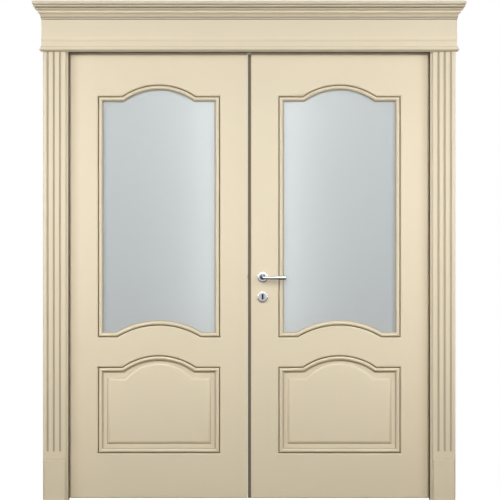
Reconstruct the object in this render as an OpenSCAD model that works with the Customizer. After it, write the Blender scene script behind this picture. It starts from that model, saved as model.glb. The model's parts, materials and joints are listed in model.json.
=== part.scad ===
// Double interior door in its frame: two half-glazed leaves with arched mouldings, fluted casings on
// plinth blocks and a crowned head. X runs along the wall, Y through it away from the front, Z up.
// The origin is on the floor, midway in width and depth. Lengths are in millimetres.

/* [Leaves] */
// Visible width of each leaf
leaf_w = 799; // [700:1:900]
// Height of each leaf
leaf_h = 2000; // [1900:1:2200]
// Thickness of each leaf
leaf_t = 44; // [42:1:50]
// Chamfer round the front face of each leaf
leaf_arris = 3; // [1:0.5:5]
// Gap between leaf and floor
floor_gap = 9; // [5:1:15]
// Gap between leaf and jamb, seen from the front
side_gap = 9; // [7:0.5:12]
// Gap between leaf and head jamb, seen from the front
head_gap = 11; // [8:0.5:14]
// Gap between the two leaves, seen from the front
meet_gap = 15; // [14:0.5:18]
// Thickness of the lip that closes behind the stop
lip_t = 14; // [12:1:16]
// How far the lip laps over the stop
lip_lap = 10; // [8:0.5:12]
// Room between the edge of the lip and the rebate
lip_clear = 3; // [2:0.5:4]

/* [Rails, stiles and arches] */
// Width of each stile
stile_w = 118; // [105:0.5:140]
// Height of the bottom rail
bottom_rail = 195; // [150:1:260]
// Height of the panel opening up to its shoulders
panel_h = 402; // [330:1:450]
// Height of the rail between panel and glass, shoulder to shoulder
mid_rail = 121; // [110:1:180]
// Height of the top rail above the shoulders of the glass
top_rail = 182; // [150:0.5:240]
// Half the chord of the arch over glass and panel
arch_half = 167.5; // [140:0.5:185]
// Rise of the arch over glass and panel
arch_rise = 52; // [40:1:60]
// Half the chord of the arch under the glass
sill_half = 185.5; // [160:0.5:205]
// Rise of the arch under the glass
sill_rise = 53; // [40:1:60]

/* [Mouldings round glass and panel] */
// Width of the sloping quirk outside the bead
quirk_w = 10; // [6:0.5:12]
// Depth of the quirk below the face of the leaf
quirk_d = 9; // [6:0.5:10]
// Radius of the bead
bead_r = 8; // [6:0.5:9]
// Depth of the centre of the bead below the face of the leaf
bead_set = 4.5; // [3:0.5:5]
// Depth of the inner side of the bead below the face of the leaf
bead_step = 5.5; // [5:0.25:6]
// Width of the slope inside the bead
slope_w = 4.5; // [3:0.5:7]
// Drop of the slope inside the bead
slope_d = 3.5; // [2:0.5:4]
// Glue line between two mitred lengths
mitre_gap = 0.1; // [0.05:0.05:0.3]
// Clearance between a moulding and the opening that it sits in
moulding_fit = 0.1; // [0.05:0.05:0.3]

/* [Glass and panel] */
// Thickness of the glass
glass_t = 5; // [4:0.5:8]
// Room round the edge of glass and panel
edge_room = 2; // [1:0.5:3]
// Depth of the flat margin of the panel below the face of the leaf
panel_sink = 12; // [11:0.5:14]
// Rise of the raised field above the margin
field_rise = 8; // [4:0.5:10]
// Width of the bevel round the raised field
field_bevel = 16; // [8:0.5:22]
// Distance from the side of the opening to the bevel
field_side = 47.5; // [36:0.5:55]
// Distance from the bottom of the opening to the bevel
field_foot = 49.5; // [36:0.5:60]
// Distance from the shoulder of the opening to the bevel
field_shoulder = 53.5; // [40:0.5:60]
// Distance from the top of the arch to the bevel
field_peak = 34.5; // [32:0.5:40]
// Half the chord of the arch of the raised field
field_half = 154; // [130:1:165]

/* [Jambs and casings] */
// Thickness of the jambs
jamb_t = 35; // [30:1:45]
// Depth of the jambs
jamb_d = 80; // [75:1:120]
// Room for the seal between stop and lip
stop_gap = 2; // [1.5:0.1:3]
// Strip of the jamb that shows beside the front casing
casing_reveal = 10.5; // [6:0.5:14]
// Width of the front casings
casing_w = 103.5; // [95:0.5:120]
// Thickness of the front casings
casing_t = 22; // [18:1:25]
// Radius of the long edges of the front casings
casing_edge_r = 4; // [2:0.5:6]
// Number of flutes on each casing
flute_count = 3; // [2:1:4]
// Radius of the flutes
flute_r = 5.25; // [4:0.25:8]
// Depth of the flutes
flute_d = 5; // [3:0.25:5]
// Distance of the first flute from the outer edge of the casing
flute_edge = 21; // [15:0.5:26]
// Distance between two flutes
flute_pitch = 28; // [22:0.5:30]
// Height of the plain foot of the casing below the flutes
flute_foot = 36; // [20:1:60]
// Height of the plinth blocks
plinth_h = 185; // [120:1:240]
// Thickness of the plinth blocks
plinth_t = 26; // [26:1:32]
// Chamfer round the face of the plinth blocks
plinth_arris = 6; // [3:0.5:8]
// Width of the rear casings
rear_casing_w = 80; // [60:1:100]
// Thickness of the rear casings
rear_casing_t = 12; // [8:0.5:12]
// Strip of the jamb that shows beside the rear casings
rear_reveal = 10; // [9:0.5:14]
// Radius of the rear edges of the rear casings
rear_edge_r = 3; // [1:0.5:5]
// Diameter of the wall fixing holes in the jambs
fixing_d = 8; // [6:0.5:10]
// Height of the lower fixing hole
fixing_z = 420; // [350:1:480]
// Distance between the fixing holes of one jamb
fixing_pitch = 1200; // [1100:1:1250]

/* [Head] */
// Strip of the head jamb that shows below the neck moulding
neck_reveal = 1; // [0:0.5:4]
// Thickness of the frieze board
frieze_t = 28; // [26:1:34]
// Height of the frieze board
frieze_h = 230; // [210:1:280]
// How far the frieze board stands past the casings
frieze_over = 8; // [4:0.5:12]
// Radius of the neck moulding's torus
torus_r = 9; // [6:0.5:12]
// Height of the fillet on the neck moulding
neck_fillet_h = 7; // [4:0.5:10]
// Projection of the fillet on the neck moulding
neck_fillet_p = 4; // [2:0.5:6]
// Height of the flat part of the frieze board's milled band
band_h = 23; // [15:0.5:30]
// Projection of the milled band
band_p = 6; // [3:0.5:8]
// Height of the hollow above the milled band
band_hollow_h = 16; // [10:0.5:20]
// Radius of the bead at the crown's foot
crown_foot_r = 3; // [2:0.25:4]
// Height of each quirk in the crown
crown_quirk_h = 2.5; // [1.5:0.25:4]
// Projection of the lowest quirk of the crown
crown_quirk_p = 3; // [2:0.5:5]
// Radius of the crown's hollow
crown_hollow_r = 22; // [16:0.5:26]
// Projection gained by the crown's hollow
crown_hollow_p = 12; // [8:0.5:15]
// Height of the crown's flat band
crown_band_h = 9; // [5:0.5:14]
// Radius of the crown's quarter round
crown_round_r = 13; // [8:0.5:16]
// Radius of the crown's upper bead
crown_bead_r = 5; // [3:0.5:6]
// Radius of the cove under the crown's top fillet
crown_cove_r = 6; // [3:0.5:8]
// Width of the small ledges between the crown's members
crown_ledge = 0.5; // [0.3:0.1:1]
// Height of the crown's top fillet
crown_fillet_h = 13.5; // [8:0.5:18]

/* [Seals] */
// How far a jamb seal shows in the gap
seal_show = 4; // [1:0.5:5]
// Width of the root of a jamb seal
seal_root_w = 4; // [3:0.5:5]
// Depth of the root of a jamb seal
seal_root_d = 6; // [4:0.5:8]
// Clearance between a seal and what closes on it
seal_room = 0.3; // [0.2:0.05:0.5]
// Thickness of the meeting seal
meet_seal_t = 3; // [2:0.5:4]
// Room between the meeting seal and the passive leaf
meet_seal_room = 1.5; // [1.5:0.1:3]

/* [Hinges] */
// Number of hinges on each leaf
hinge_count = 3; // [2:1:4]
// Distance of the outer hinges from the ends of the leaf
hinge_inset = 220; // [150:1:300]
// Radius of the hinge barrels
barrel_r = 7; // [6:0.25:7]
// Straight height of each hinge knuckle
knuckle_h = 34; // [30:1:45]
// Play between the two knuckles of a hinge
knuckle_gap = 0.5; // [0.3:0.1:1]
// Distance of the hinge axis outside the lip
hinge_out = 2; // [1.5:0.25:3]
// Clearance between barrel and leaf
hinge_clear = 0.8; // [0.6:0.1:1.5]
// Radius of the hinge pins
pin_r = 3.5; // [3:0.25:4]
// Length of the hinge pins
pin_l = 50; // [40:1:58]
// Running clearance round a hinge pin
pin_run = 0.05; // [0.02:0.01:0.08]
// Radius of the hinge shanks
shank_r = 3; // [2.5:0.25:3.25]
// Clearance round the hinge shanks
shank_fit = 0.1; // [0.05:0.05:0.2]
// Distance of each shank from the end of its knuckle
shank_inset = 8; // [6:0.5:10]
// Length of the shanks in the leaf, from the hinge axis
leaf_shank_l = 45; // [35:1:55]
// Angle of the shanks in the leaf to the leaf
leaf_shank_a = 36; // [34:1:38]
// Length of the shanks in the jamb, from the hinge axis
frame_shank_l = 28; // [22:1:28]
// Angle of the shanks in the jamb to the wall
frame_shank_a = 54; // [50:1:56]

/* [Meeting edge] */
// Thickness of the meeting strip
strip_t = 8; // [6:0.5:8]
// Width of the meeting strip
strip_w = 22; // [22:0.5:24]
// Distance of the meeting strip behind the face of the leaf
strip_set = 14; // [12:0.5:16]

/* [Lock] */
// Height of the handle above the floor
handle_z = 1006; // [950:1:1050]
// Distance from forend to handle
backset = 61; // [55:0.5:66]
// Distance from handle to key
lock_centres = 90; // [85:1:95]
// Thickness of forend and strike plate
forend_t = 3; // [2:0.5:3]
// Width of the forend
forend_w = 18; // [16:0.5:20]
// Height of the forend
forend_h = 240; // [230:1:260]
// Depth of the lock case behind the forend
case_l = 82; // [80:0.5:95]
// Thickness of the lock case
case_t = 14; // [13:0.5:16]
// Height of the lock case
case_h = 172; // [168:1:185]
// Height of the lock case above the handle
case_top = 40; // [36:0.5:45]
// Wall of the lock case
case_wall = 2; // [1.5:0.25:2.5]
// Clearance round the lock case in the leaf
case_fit = 0.5; // [0.2:0.1:1]
// Sliding clearance of latch, deadbolt and flush bolts
slide_fit = 0.2; // [0.15:0.05:0.4]
// Throw of the latch
latch_throw = 12.5; // [10:0.5:13]
// Height of the latch head
latch_h = 18; // [14:0.5:20]
// Throw of the deadbolt
deadbolt_throw = 14; // [10:0.5:16]
// Height of the deadbolt
deadbolt_h = 30; // [22:0.5:34]
// Length of the deadbolt
deadbolt_l = 44; // [38:0.5:46]
// How much shorter the strike plate is than the forend
strike_short = 30; // [20:1:40]
// Width of the strike plate
strike_w = 24; // [22:0.5:26]
// Radius of the follower's hub
hub_r = 10; // [9:0.5:11]
// Radius of the follower's journals
journal_r = 7.5; // [7:0.25:8]
// Running clearance of the follower's journals
journal_run = 0.05; // [0.02:0.01:0.08]
// Radius of the follower's finger tip
finger_r = 3; // [2.5:0.25:3]
// Width of the follower's finger
finger_w = 4; // [3:0.5:4]

/* [Handle] */
// Turn of the handle in degrees
handle_turn = 40; // [35:1:45]
// Radius of the roses
rose_r = 23.5; // [22:0.5:27]
// Thickness of the roses
rose_t = 9; // [7:0.5:11]
// Radius of the rim of the roses
rim_r = 3; // [1.5:0.25:4]
// Radius of the opening in the lever roses
rose_bore_r = 11; // [10:0.25:13]
// Thickness of the bearing bush in a lever rose
bush_t = 6; // [4:0.5:6.5]
// Running clearance of lever and bush
bush_run = 0.05; // [0.02:0.01:0.1]
// Radius of the neck of a lever, up to the start of its grip
neck_r = 6.5; // [6:0.25:7.5]
// Distance of the lever's grip from the leaf
lever_reach = 50; // [44:1:60]
// How much thicker a lever is where it turns in its bush
journal_step = 0.5; // [0.3:0.1:1]
// How much thicker the ball at the end of the bend is
ball_step = 1; // [0.8:0.1:2]
// Radius of the lever's bend
bend_r = 14; // [11:0.5:18]
// Length of the lever from its axis
lever_l = 108; // [95:1:130]
// Radius of the grip at the tip
grip_r = 9.5; // [8:0.25:11]
// Radius of the rounded tip
tip_r = 14; // [12:0.5:20]
// Drop of the grip below the axis
lever_drop = 4; // [0:0.5:6]
// Side of the square spindle
spindle_a = 7; // [6:0.5:7]
// Clearance round the spindle
spindle_fit = 0.05; // [0.02:0.01:0.1]
// Width of the keyhole
keyhole_w = 8; // [6:0.5:9]
// Height of the keyhole
keyhole_h = 24; // [18:0.5:28]
// Width of the raised collar round the keyhole
collar_w = 4; // [2:0.5:5]
// Rise of the collar round the keyhole
collar_t = 1.2; // [0.5:0.1:2]

/* [Flush bolts] */
// Radius of the flush bolt rods
rod_r = 4.5; // [4:0.25:5]
// Distance of the rods behind the face of the leaf
rod_set = 15; // [13:0.5:17]
// Distance of the rods from the edge of the leaf
rod_in = 10; // [9:0.5:12]
// Throw of the upper flush bolt
upper_throw = 23; // [20:0.5:26]
// Throw of the lower flush bolt
lower_throw = 18; // [15:0.5:22]
// Thickness of the flush bolt plates
plate_t = 2.5; // [2:0.25:3]
// Width of the flush bolt plates
plate_w = 22; // [21.5:0.5:23]
// Height of the flush bolt plates
plate_h = 150; // [130:1:180]
// Distance of the screws beside the rod of a flush bolt
plate_screw_off = 6.8; // [6.8:0.1:7.2]
// Distance of the flush bolt plates from the ends of the leaf
plate_inset = 100; // [80:1:160]
// Height of the thumb piece
thumb_h = 24; // [18:0.5:28]
// Width of the thumb piece
thumb_w = 8; // [6:0.5:9]
// Thickness of the keeper in the head jamb
keeper_t = 2.5; // [1.5:0.25:3]
// Length of the keeper in the head jamb
keeper_l = 60; // [50:1:80]

/* [Screws] */
// Radius of the screw shanks
screw_r = 1.75; // [1.5:0.25:2]
// Radius of the screw heads
screw_head_r = 3.5; // [3:0.25:4]
// Length of the screws
screw_l = 20; // [16:1:25]
// Clearance round the screws
screw_fit = 0.1; // [0.05:0.05:0.2]
// Distance of a screw from the end of its plate
screw_inset = 10; // [8:0.5:12]

/* [Hidden] */
$fn = 64;
cut = 1;
paint = "#EDE4CE";
frost = "#CBD0D1";
chrome = "#D8DADC";
steel = "#A9AAA8";
rubber = "#4A3A30";
nylon = "#2A2A2C";

// Levels across the width, for the right half
meet_x = meet_gap / 2;
edge_x = meet_x + leaf_w;
jamb_x = edge_x + side_gap;
lip_x = jamb_x + lip_lap;
rebate_x = lip_x + lip_clear;
jamb_out = jamb_x + jamb_t;
casing_in = jamb_x + casing_reveal;
casing_out = casing_in + casing_w;
flute_z = plinth_h + flute_foot;
rear_in = rebate_x + rear_reveal;
frieze_half = casing_out + frieze_over;
leaf_mid_x = meet_x + leaf_w / 2;
open_half = leaf_w / 2 - stile_w;

// Levels up the height
leaf_z1 = floor_gap + leaf_h;
head_z = leaf_z1 + head_gap;
lip_z = head_z + lip_lap;
rebate_z = lip_z + lip_clear;
head_top = head_z + jamb_t;
head_base = head_z + neck_reveal;
rear_head_z = rebate_z + rear_reveal;
panel_z0 = floor_gap + bottom_rail;
panel_z1 = panel_z0 + panel_h;
glass_z0 = panel_z1 + mid_rail;
glass_z1 = leaf_z1 - top_rail;
key_z = handle_z - lock_centres;

// Levels through the wall, from the front of the jambs
leaf_rear = jamb_d;
leaf_front = leaf_rear - leaf_t;
leaf_mid = (leaf_front + leaf_rear) / 2;
lip_front = leaf_rear - lip_t;
stop_y = lip_front - stop_gap;
strip_y = leaf_front + strip_set;
lock_y = strip_y + strip_w / 2;

// Moulding ring: width, and depth of its back below the face of the leaf
ring_w = quirk_w + 2 * bead_r + slope_w;
glass_back = (leaf_t - glass_t) / 2;
arch_r = arc_radius(arch_half, arch_rise);
sill_r = arc_radius(sill_half, sill_rise);

// Crown profile, worked up from its foot: heights and projections
crown_z1 = 2 * crown_foot_r;
crown_z2 = crown_z1 + crown_quirk_h;
hollow_p0 = crown_quirk_p + crown_foot_r / 2;
hollow_h = sqrt(crown_hollow_r ^ 2 - (crown_hollow_r - crown_hollow_p) ^ 2);
crown_z3 = crown_z2 + hollow_h;
band_out = hollow_p0 + crown_hollow_p + crown_ledge;
crown_z4 = crown_z3 + crown_band_h;
round_out = band_out + crown_round_r;
crown_z5 = crown_z4 + crown_round_r;
crown_z6 = crown_z5 + crown_quirk_h;
crown_z7 = crown_z6 + 2 * crown_bead_r - crown_ledge;
bead_mid_p = round_out + crown_bead_r / 2;
cove_out = bead_mid_p + crown_bead_r - 1;
crown_z8 = crown_z7 + crown_cove_r;
crown_out = cove_out + crown_cove_r;
crown_h = crown_z8 + crown_fillet_h;
crown_z = head_base + frieze_h - crown_h;

// Hinge axis and heights
hinge_x = lip_x + hinge_out;
hinge_y = leaf_rear + barrel_r + hinge_clear;
hinge_step = (leaf_h - 2 * hinge_inset) / (hinge_count - 1);
hinge_zs = [for (i = [0 : hinge_count - 1]) floor_gap + hinge_inset + i * hinge_step];
shank_zs = [shank_inset, knuckle_h - shank_inset];

// Lock
forend_x = meet_x - strip_t;
spindle_x = forend_x + backset;
case_x = forend_x + forend_t;
case_z1 = handle_z + case_top;
case_z0 = case_z1 - case_h;
inner_t = case_t - 2 * case_wall;
slide_t = inner_t - 2 * slide_fit;
finger_l = latch_throw / (2 * sin(handle_turn / 2));
journal_out = neck_r + journal_step;
bend_ball_r = neck_r + ball_step;
finger_x = spindle_x - finger_l * sin(handle_turn / 2);
finger_z = handle_z + finger_l * cos(handle_turn / 2);
hook_x = finger_x + finger_r + slide_fit;
hook_z = finger_z - finger_r / 2;
tail_z0 = handle_z + finger_l + finger_r + 1;
tail_h = 6;
hook_l = 6;
forend_z = (handle_z + key_z) / 2;
strike_h = forend_h - strike_short;
strike_in = max(latch_throw, deadbolt_throw) + strip_t;

// Flush bolts
rod_x = meet_x + rod_in;
rod_y = leaf_front + rod_set;
plate_mid_up = leaf_z1 - plate_inset - plate_h / 2;
plate_mid_low = floor_gap + plate_inset + plate_h / 2;

// The depth of the whole door, to put the origin in its middle
front_y = -frieze_t - crown_out;
rear_y = leaf_rear + lever_reach + grip_r;
mid_y = (front_y + rear_y) / 2;

// Radius of an arc from half its chord and its rise
function arc_radius(half, rise) = (half ^ 2 + rise ^ 2) / (2 * rise);

// Half the chord of an arched edge that has moved inwards by u
function arch_chord(u) = sqrt((arch_r - u) ^ 2 - (arch_r - arch_rise - u) ^ 2);
function sill_chord(u) = sqrt((sill_r + u) ^ 2 - (sill_r - sill_rise + u) ^ 2);

// Point on the line through p and q, at a distance e beyond p
function beyond(p, q, e) = p + (p - q) / norm(p - q) * e;

// Places what is modelled from the front of the jambs in the door's own frame
module placed() {
    translate([0, -mid_y, 0]) children();
}

// Right half as it is, left half mirrored
module on_side(side) {
    if (side > 0)
        children();
    else
        mirror([1, 0, 0]) children();
}

// Box between two corners
module box(a, b) {
    translate(a) cube(b - a);
}

// Extrudes an outline in X and Z through the wall
module through(y0, y1) {
    translate([0, y1, 0]) rotate([90, 0, 0]) linear_extrude(y1 - y0) children();
}

// Extrudes an outline in Y and Z along the wall
module along(x0, x1) {
    translate([x0, 0, 0]) rotate([90, 0, 90]) linear_extrude(x1 - x0) children();
}

// Turns the front of a leaf into its rear
module turned_to_rear() {
    translate([0, 2 * leaf_mid, 0]) mirror([0, 1, 0]) children();
}

// Cylinder along Y between two depths
module round_through(r, y0, y1) {
    translate([0, y1, 0]) rotate([90, 0, 0]) cylinder(r = r, h = y1 - y0);
}

// Countersunk screw along -Z from its head at the origin, grown by a clearance
module screw(fit = 0) {
    head_h = screw_head_r - screw_r;
    translate([0, 0, -head_h]) cylinder(r1 = screw_r + fit, r2 = screw_head_r + fit, h = head_h);
    translate([0, 0, -screw_l - fit]) cylinder(r = screw_r + fit, h = screw_l + fit);
    if (fit > 0)
        cylinder(r = screw_head_r + fit, h = cut);
}

// Block with a chamfer round its front face, from corner a to corner b
module chamfered_block(a, b, c) {
    intersection() {
        translate([0, 0, a.z]) linear_extrude(b.z - a.z)
            polygon([
                [a.x, a.y + c], [a.x + c, a.y], [b.x - c, a.y],
                [b.x, a.y + c], [b.x, b.y], [a.x, b.y]
            ]);
        along(a.x, b.x)
            polygon([[a.y, a.z], [a.y, b.z - c], [a.y + c, b.z], [b.y, b.z], [b.y, a.z]]);
    }
}

// Square with two rounded corners on its far side in Y
module rounded_bar(w, t, r) {
    square([w, t - r]);
    translate([r, 0]) square([w - 2 * r, t]);
    for (x = [r, w - r])
        translate([x, t - r]) circle(r);
}

// Outline of an opening, moved inwards by u: shoulders, arch, and an arched sill under glass
module opening_outline(u, z0, z1, arched_sill) {
    overlap = arch_rise / 2;
    difference() {
        union() {
            translate([u - open_half, z0 + u]) square([2 * (open_half - u), z1 - z0 - 2 * u]);
            intersection() {
                translate([0, z1 + arch_rise - arch_r]) circle(arch_r - u);
                translate([u - open_half, z1 - u - overlap])
                    square([2 * (open_half - u), arch_rise + overlap]);
            }
        }
        if (arched_sill)
            translate([0, z0 + sill_rise - sill_r]) circle(sill_r + u);
    }
}

// Section of a moulding: inwards from the edge of the opening, and out of the face of the leaf
module ring_section(back) {
    polygon([
        [moulding_fit, 0], [quirk_w, -quirk_d], [quirk_w + bead_r, -quirk_d],
        [quirk_w + 2 * bead_r, -bead_step], [ring_w, -bead_step - slope_d],
        [ring_w, -back], [moulding_fit, -back]
    ]);
    intersection() {
        translate([quirk_w + bead_r, -bead_set]) circle(bead_r);
        translate([0, -back]) square([ring_w, back + bead_r]);
    }
}

// Keeps what lies between the two mitres at the ends of a length, p outside and q inside
module between_mitres(p0, q0, p1, q1, out, in) {
    run = (p1 - p0) / norm(p1 - p0) * mitre_gap / 2;
    intersection() {
        children();
        through(leaf_front - leaf_t, leaf_rear + leaf_t)
            polygon([
                beyond(p0, q0, out) + run, beyond(q0, p0, in) + run,
                beyond(q1, p1, in) - run, beyond(p1, q1, out) - run
            ]);
    }
}

// Straight length of moulding from outer corner p0 to p1, with inner corners q0 and q1
module straight_length(p0, q0, p1, q1, back) {
    d = p1 - p0;
    between_mitres(p0, q0, p1, q1, cut, cut)
        translate([p0.x, leaf_front, p0.y]) rotate([0, -atan2(d.y, d.x), 0]) rotate(a = 180, v = [1, 0, 1])
            linear_extrude(norm(d)) ring_section(back);
}

// Curved length of moulding round a centre at height cz, rising from p0 to p1
module curved_length(p0, q0, p1, q1, back, r, cz, inwards) {
    sweep = 2 * asin(abs(p0.x) / r) + 20;
    far = arch_half;
    between_mitres(p0, q0, p1, q1, inwards > 0 ? cut : far, inwards > 0 ? far : cut)
        translate([0, leaf_front, cz]) rotate([90, 0, 0]) rotate([0, 0, 90 - sweep / 2])
            rotate_extrude(angle = sweep) translate([r, 0]) mirror([inwards > 0 ? 0 : 1, 0])
                ring_section(back);
}

// Corners of an opening moved inwards by u, from the bottom left one and against the clock
function ring_corners(u, z0, z1, arched_sill) = concat(
    [[u - open_half, z0 + u]],
    arched_sill ? [[-sill_chord(u), z0 + u], [sill_chord(u), z0 + u]] : [],
    [
        [open_half - u, z0 + u], [open_half - u, z1 - u], [arch_chord(u), z1 - u],
        [-arch_chord(u), z1 - u], [u - open_half, z1 - u]
    ]
);

// Moulding round an opening of the right leaf, in mitred lengths
module moulding_ring(z0, z1, arched_sill, back) {
    p = ring_corners(0, z0, z1, arched_sill);
    q = ring_corners(ring_w, z0, z1, arched_sill);
    n = len(p);
    arch_i = n - 3;
    sill_i = arched_sill ? 1 : n;
    translate([leaf_mid_x, 0, 0])
        for (i = [0 : n - 1]) {
            j = (i + 1) % n;
            if (i == arch_i)
                curved_length(p[i], q[i], p[j], q[j], back, arch_r, z1 + arch_rise - arch_r, -1);
            else if (i == sill_i)
                curved_length(p[i], q[i], p[j], q[j], back, sill_r, z0 + sill_rise - sill_r, 1);
            else
                straight_length(p[i], q[i], p[j], q[j], back);
        }
}

module glass_moulding(side) {
    color(paint) placed() on_side(side) moulding_ring(glass_z0, glass_z1, true, glass_back);
}

module glass_moulding_rear(side) {
    color(paint) placed() on_side(side) turned_to_rear()
        moulding_ring(glass_z0, glass_z1, true, glass_back);
}

module panel_moulding(side) {
    color(paint) placed() on_side(side) moulding_ring(panel_z0, panel_z1, false, panel_sink);
}

module panel_moulding_rear(side) {
    color(paint) placed() on_side(side) turned_to_rear()
        moulding_ring(panel_z0, panel_z1, false, panel_sink);
}

module glass(side) {
    color(frost, 0.6) placed() on_side(side) translate([leaf_mid_x, 0, 0])
        through(leaf_mid - glass_t / 2, leaf_mid + glass_t / 2)
            opening_outline(edge_room, glass_z0, glass_z1, true);
}

// Raised field on the front of the panel: a bevelled block with a bevelled arch on its shoulders
module raised_field() {
    half = open_half - field_side;
    z0 = panel_z0 + field_foot;
    z1 = panel_z1 - field_shoulder;
    rise = panel_z1 + arch_rise - field_peak - z1;
    r = arc_radius(field_half, rise);
    y0 = leaf_front + panel_sink;
    y1 = y0 - field_rise;
    b = field_bevel;
    root = y0 + cut;
    intersection() {
        translate([0, 0, z0]) linear_extrude(z1 - z0)
            polygon([[-half, root], [-half, y0], [b - half, y1], [half - b, y1], [half, y0], [half, root]]);
        along(-half, half)
            polygon([[root, z0], [y0, z0], [y1, z0 + b], [y1, z1 - b], [y0, z1], [root, z1]]);
    }
    intersection() {
        translate([0, 0, z1 + rise - r]) rotate([90, 0, 0]) {
            translate([0, 0, -y0]) cylinder(r1 = r, r2 = r - b, h = field_rise);
            translate([0, 0, -root]) cylinder(r = r, h = cut);
        }
        box([-field_half - b, y1 - cut, z1 - 2 * b], [field_half + b, root, z1 + rise + cut]);
    }
}

module panel(side) {
    color(paint) placed() on_side(side) translate([leaf_mid_x, 0, 0]) {
        through(leaf_front + panel_sink, leaf_rear - panel_sink)
            opening_outline(edge_room, panel_z0, panel_z1, false);
        raised_field();
        turned_to_rear() raised_field();
    }
}

// Leaf with its lips along the hinge edge and the top, before its mortises are cut
module leaf_blank() {
    c = leaf_arris;
    difference() {
        intersection() {
            translate([0, 0, floor_gap]) linear_extrude(lip_z - floor_gap)
                polygon([
                    [meet_x, leaf_front + c], [meet_x + c, leaf_front], [edge_x - c, leaf_front],
                    [edge_x, leaf_front + c], [edge_x, lip_front], [lip_x, lip_front],
                    [lip_x, leaf_rear], [meet_x, leaf_rear]
                ]);
            along(meet_x, lip_x)
                polygon([
                    [leaf_front + c, floor_gap], [leaf_front, floor_gap + c], [leaf_front, leaf_z1 - c],
                    [leaf_front + c, leaf_z1], [lip_front, leaf_z1], [lip_front, lip_z],
                    [leaf_rear, lip_z], [leaf_rear, floor_gap]
                ]);
        }
        translate([leaf_mid_x, 0, 0]) through(leaf_front - cut, leaf_rear + cut) {
            opening_outline(0, glass_z0, glass_z1, true);
            opening_outline(0, panel_z0, panel_z1, false);
        }
        hinge_shanks(leaf_shank_l, 180 + leaf_shank_a, 1, shank_fit);
    }
}

// Shanks of all hinges on the right, in a direction round the hinge axis, above or below its middle
module hinge_shanks(l, a, up, fit) {
    for (z = hinge_zs, s = shank_zs)
        translate([hinge_x, hinge_y, z + up * (knuckle_gap / 2 + s)]) rotate([0, 90, a])
            cylinder(r = shank_r + fit, h = l + fit);
}

// Knuckles of all hinges on the right, with domed ends and a blind bore
module hinge_knuckles(up, fit) {
    depth = pin_l / 2 - knuckle_gap / 2 + fit;
    for (z = hinge_zs)
        translate([hinge_x, hinge_y, z]) mirror([0, 0, up > 0 ? 0 : 1]) translate([0, 0, knuckle_gap / 2])
            difference() {
                union() {
                    cylinder(r = barrel_r, h = knuckle_h);
                    translate([0, 0, knuckle_h]) sphere(barrel_r);
                }
                translate([0, 0, -cut]) cylinder(r = pin_r + fit, h = depth + cut);
            }
}

// Shanks start at the barrel's wall, so that the bore stays clear
module shanks_outside_bore(l, a, up) {
    difference() {
        hinge_shanks(l, a, up, 0);
        for (z = hinge_zs)
            translate([hinge_x, hinge_y, z - 2 * knuckle_h])
                cylinder(r = (barrel_r + pin_r) / 2, h = 4 * knuckle_h);
    }
}

module frame_knuckles(side) {
    color(steel) placed() on_side(side) {
        hinge_knuckles(-1, pin_run);
        shanks_outside_bore(frame_shank_l, -frame_shank_a, -1);
    }
}

module leaf_knuckles(side) {
    color(steel) placed() on_side(side) {
        hinge_knuckles(1, pin_run);
        shanks_outside_bore(leaf_shank_l, 180 + leaf_shank_a, 1);
    }
}

module hinge_pins(side) {
    color(steel) placed() on_side(side)
        for (z = hinge_zs)
            translate([hinge_x, hinge_y, z - pin_l / 2]) cylinder(r = pin_r, h = pin_l);
}

module jamb(side) {
    root_x = jamb_x + lip_lap / 2;
    color(paint) placed() on_side(side) difference() {
        box([jamb_x, 0, 0], [jamb_out, jamb_d, head_top]);
        box([jamb_x - cut, stop_y, -cut], [rebate_x, jamb_d + cut, rebate_z]);
        box(
            [root_x - seal_root_w / 2, stop_y - seal_root_d, -cut],
            [root_x + seal_root_w / 2, stop_y + cut, rebate_z]
        );
        hinge_shanks(frame_shank_l, -frame_shank_a, -1, shank_fit);
        for (z = [fixing_z, fixing_z + fixing_pitch])
            translate([rebate_x - cut, (stop_y + jamb_d) / 2, z]) rotate([0, 90, 0])
                cylinder(d = fixing_d, h = jamb_t + cut);
    }
}

module head_jamb() {
    root_z = head_z + lip_lap / 2;
    color(paint) placed() difference() {
        box([-jamb_x, 0, head_z], [jamb_x, jamb_d, head_top]);
        box([-jamb_x - cut, stop_y, head_z - cut], [jamb_x + cut, jamb_d + cut, rebate_z]);
        box([-jamb_x - cut, stop_y - seal_root_d, root_z - seal_root_w / 2],
            [jamb_x + cut, stop_y + cut, root_z + seal_root_w / 2]);
        keeper_block(0);
        translate([-rod_x, rod_y, head_z - cut]) cylinder(r = rod_r + 2 * slide_fit, h = upper_throw + cut);
        keeper_fixings(screw_fit);
    }
}

// Strip of a side seal: a flat fin over a root in the stop
module jamb_seal(side) {
    root_x = jamb_x + lip_lap / 2;
    fin_z = head_z - seal_show - seal_room;
    color(rubber) placed() on_side(side) {
        box([jamb_x - seal_show, stop_y, 0], [lip_x, lip_front - seal_room, fin_z]);
        box([root_x - seal_root_w / 2, stop_y - seal_root_d, 0], [root_x + seal_root_w / 2, stop_y, fin_z]);
    }
}

module head_seal() {
    root_z = head_z + lip_lap / 2;
    half = jamb_x - seal_room;
    color(rubber) placed() {
        box([-half, stop_y, head_z - seal_show], [half, lip_front - seal_room, lip_z]);
        box(
            [-half, stop_y - seal_root_d, root_z - seal_root_w / 2],
            [half, stop_y, root_z + seal_root_w / 2]
        );
    }
}

// Front casing with rounded long edges and flutes that stop above its foot
module casing(side) {
    color(paint) placed() on_side(side) translate([casing_in, 0, 0]) difference() {
        translate([0, 0, plinth_h]) linear_extrude(head_base - plinth_h)
            mirror([0, 1]) rounded_bar(casing_w, casing_t, casing_edge_r);
        for (i = [0 : flute_count - 1])
            translate([casing_w - flute_edge - i * flute_pitch, flute_d - casing_t - flute_r, flute_z])
                cylinder(r = flute_r, h = head_base);
    }
}

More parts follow.
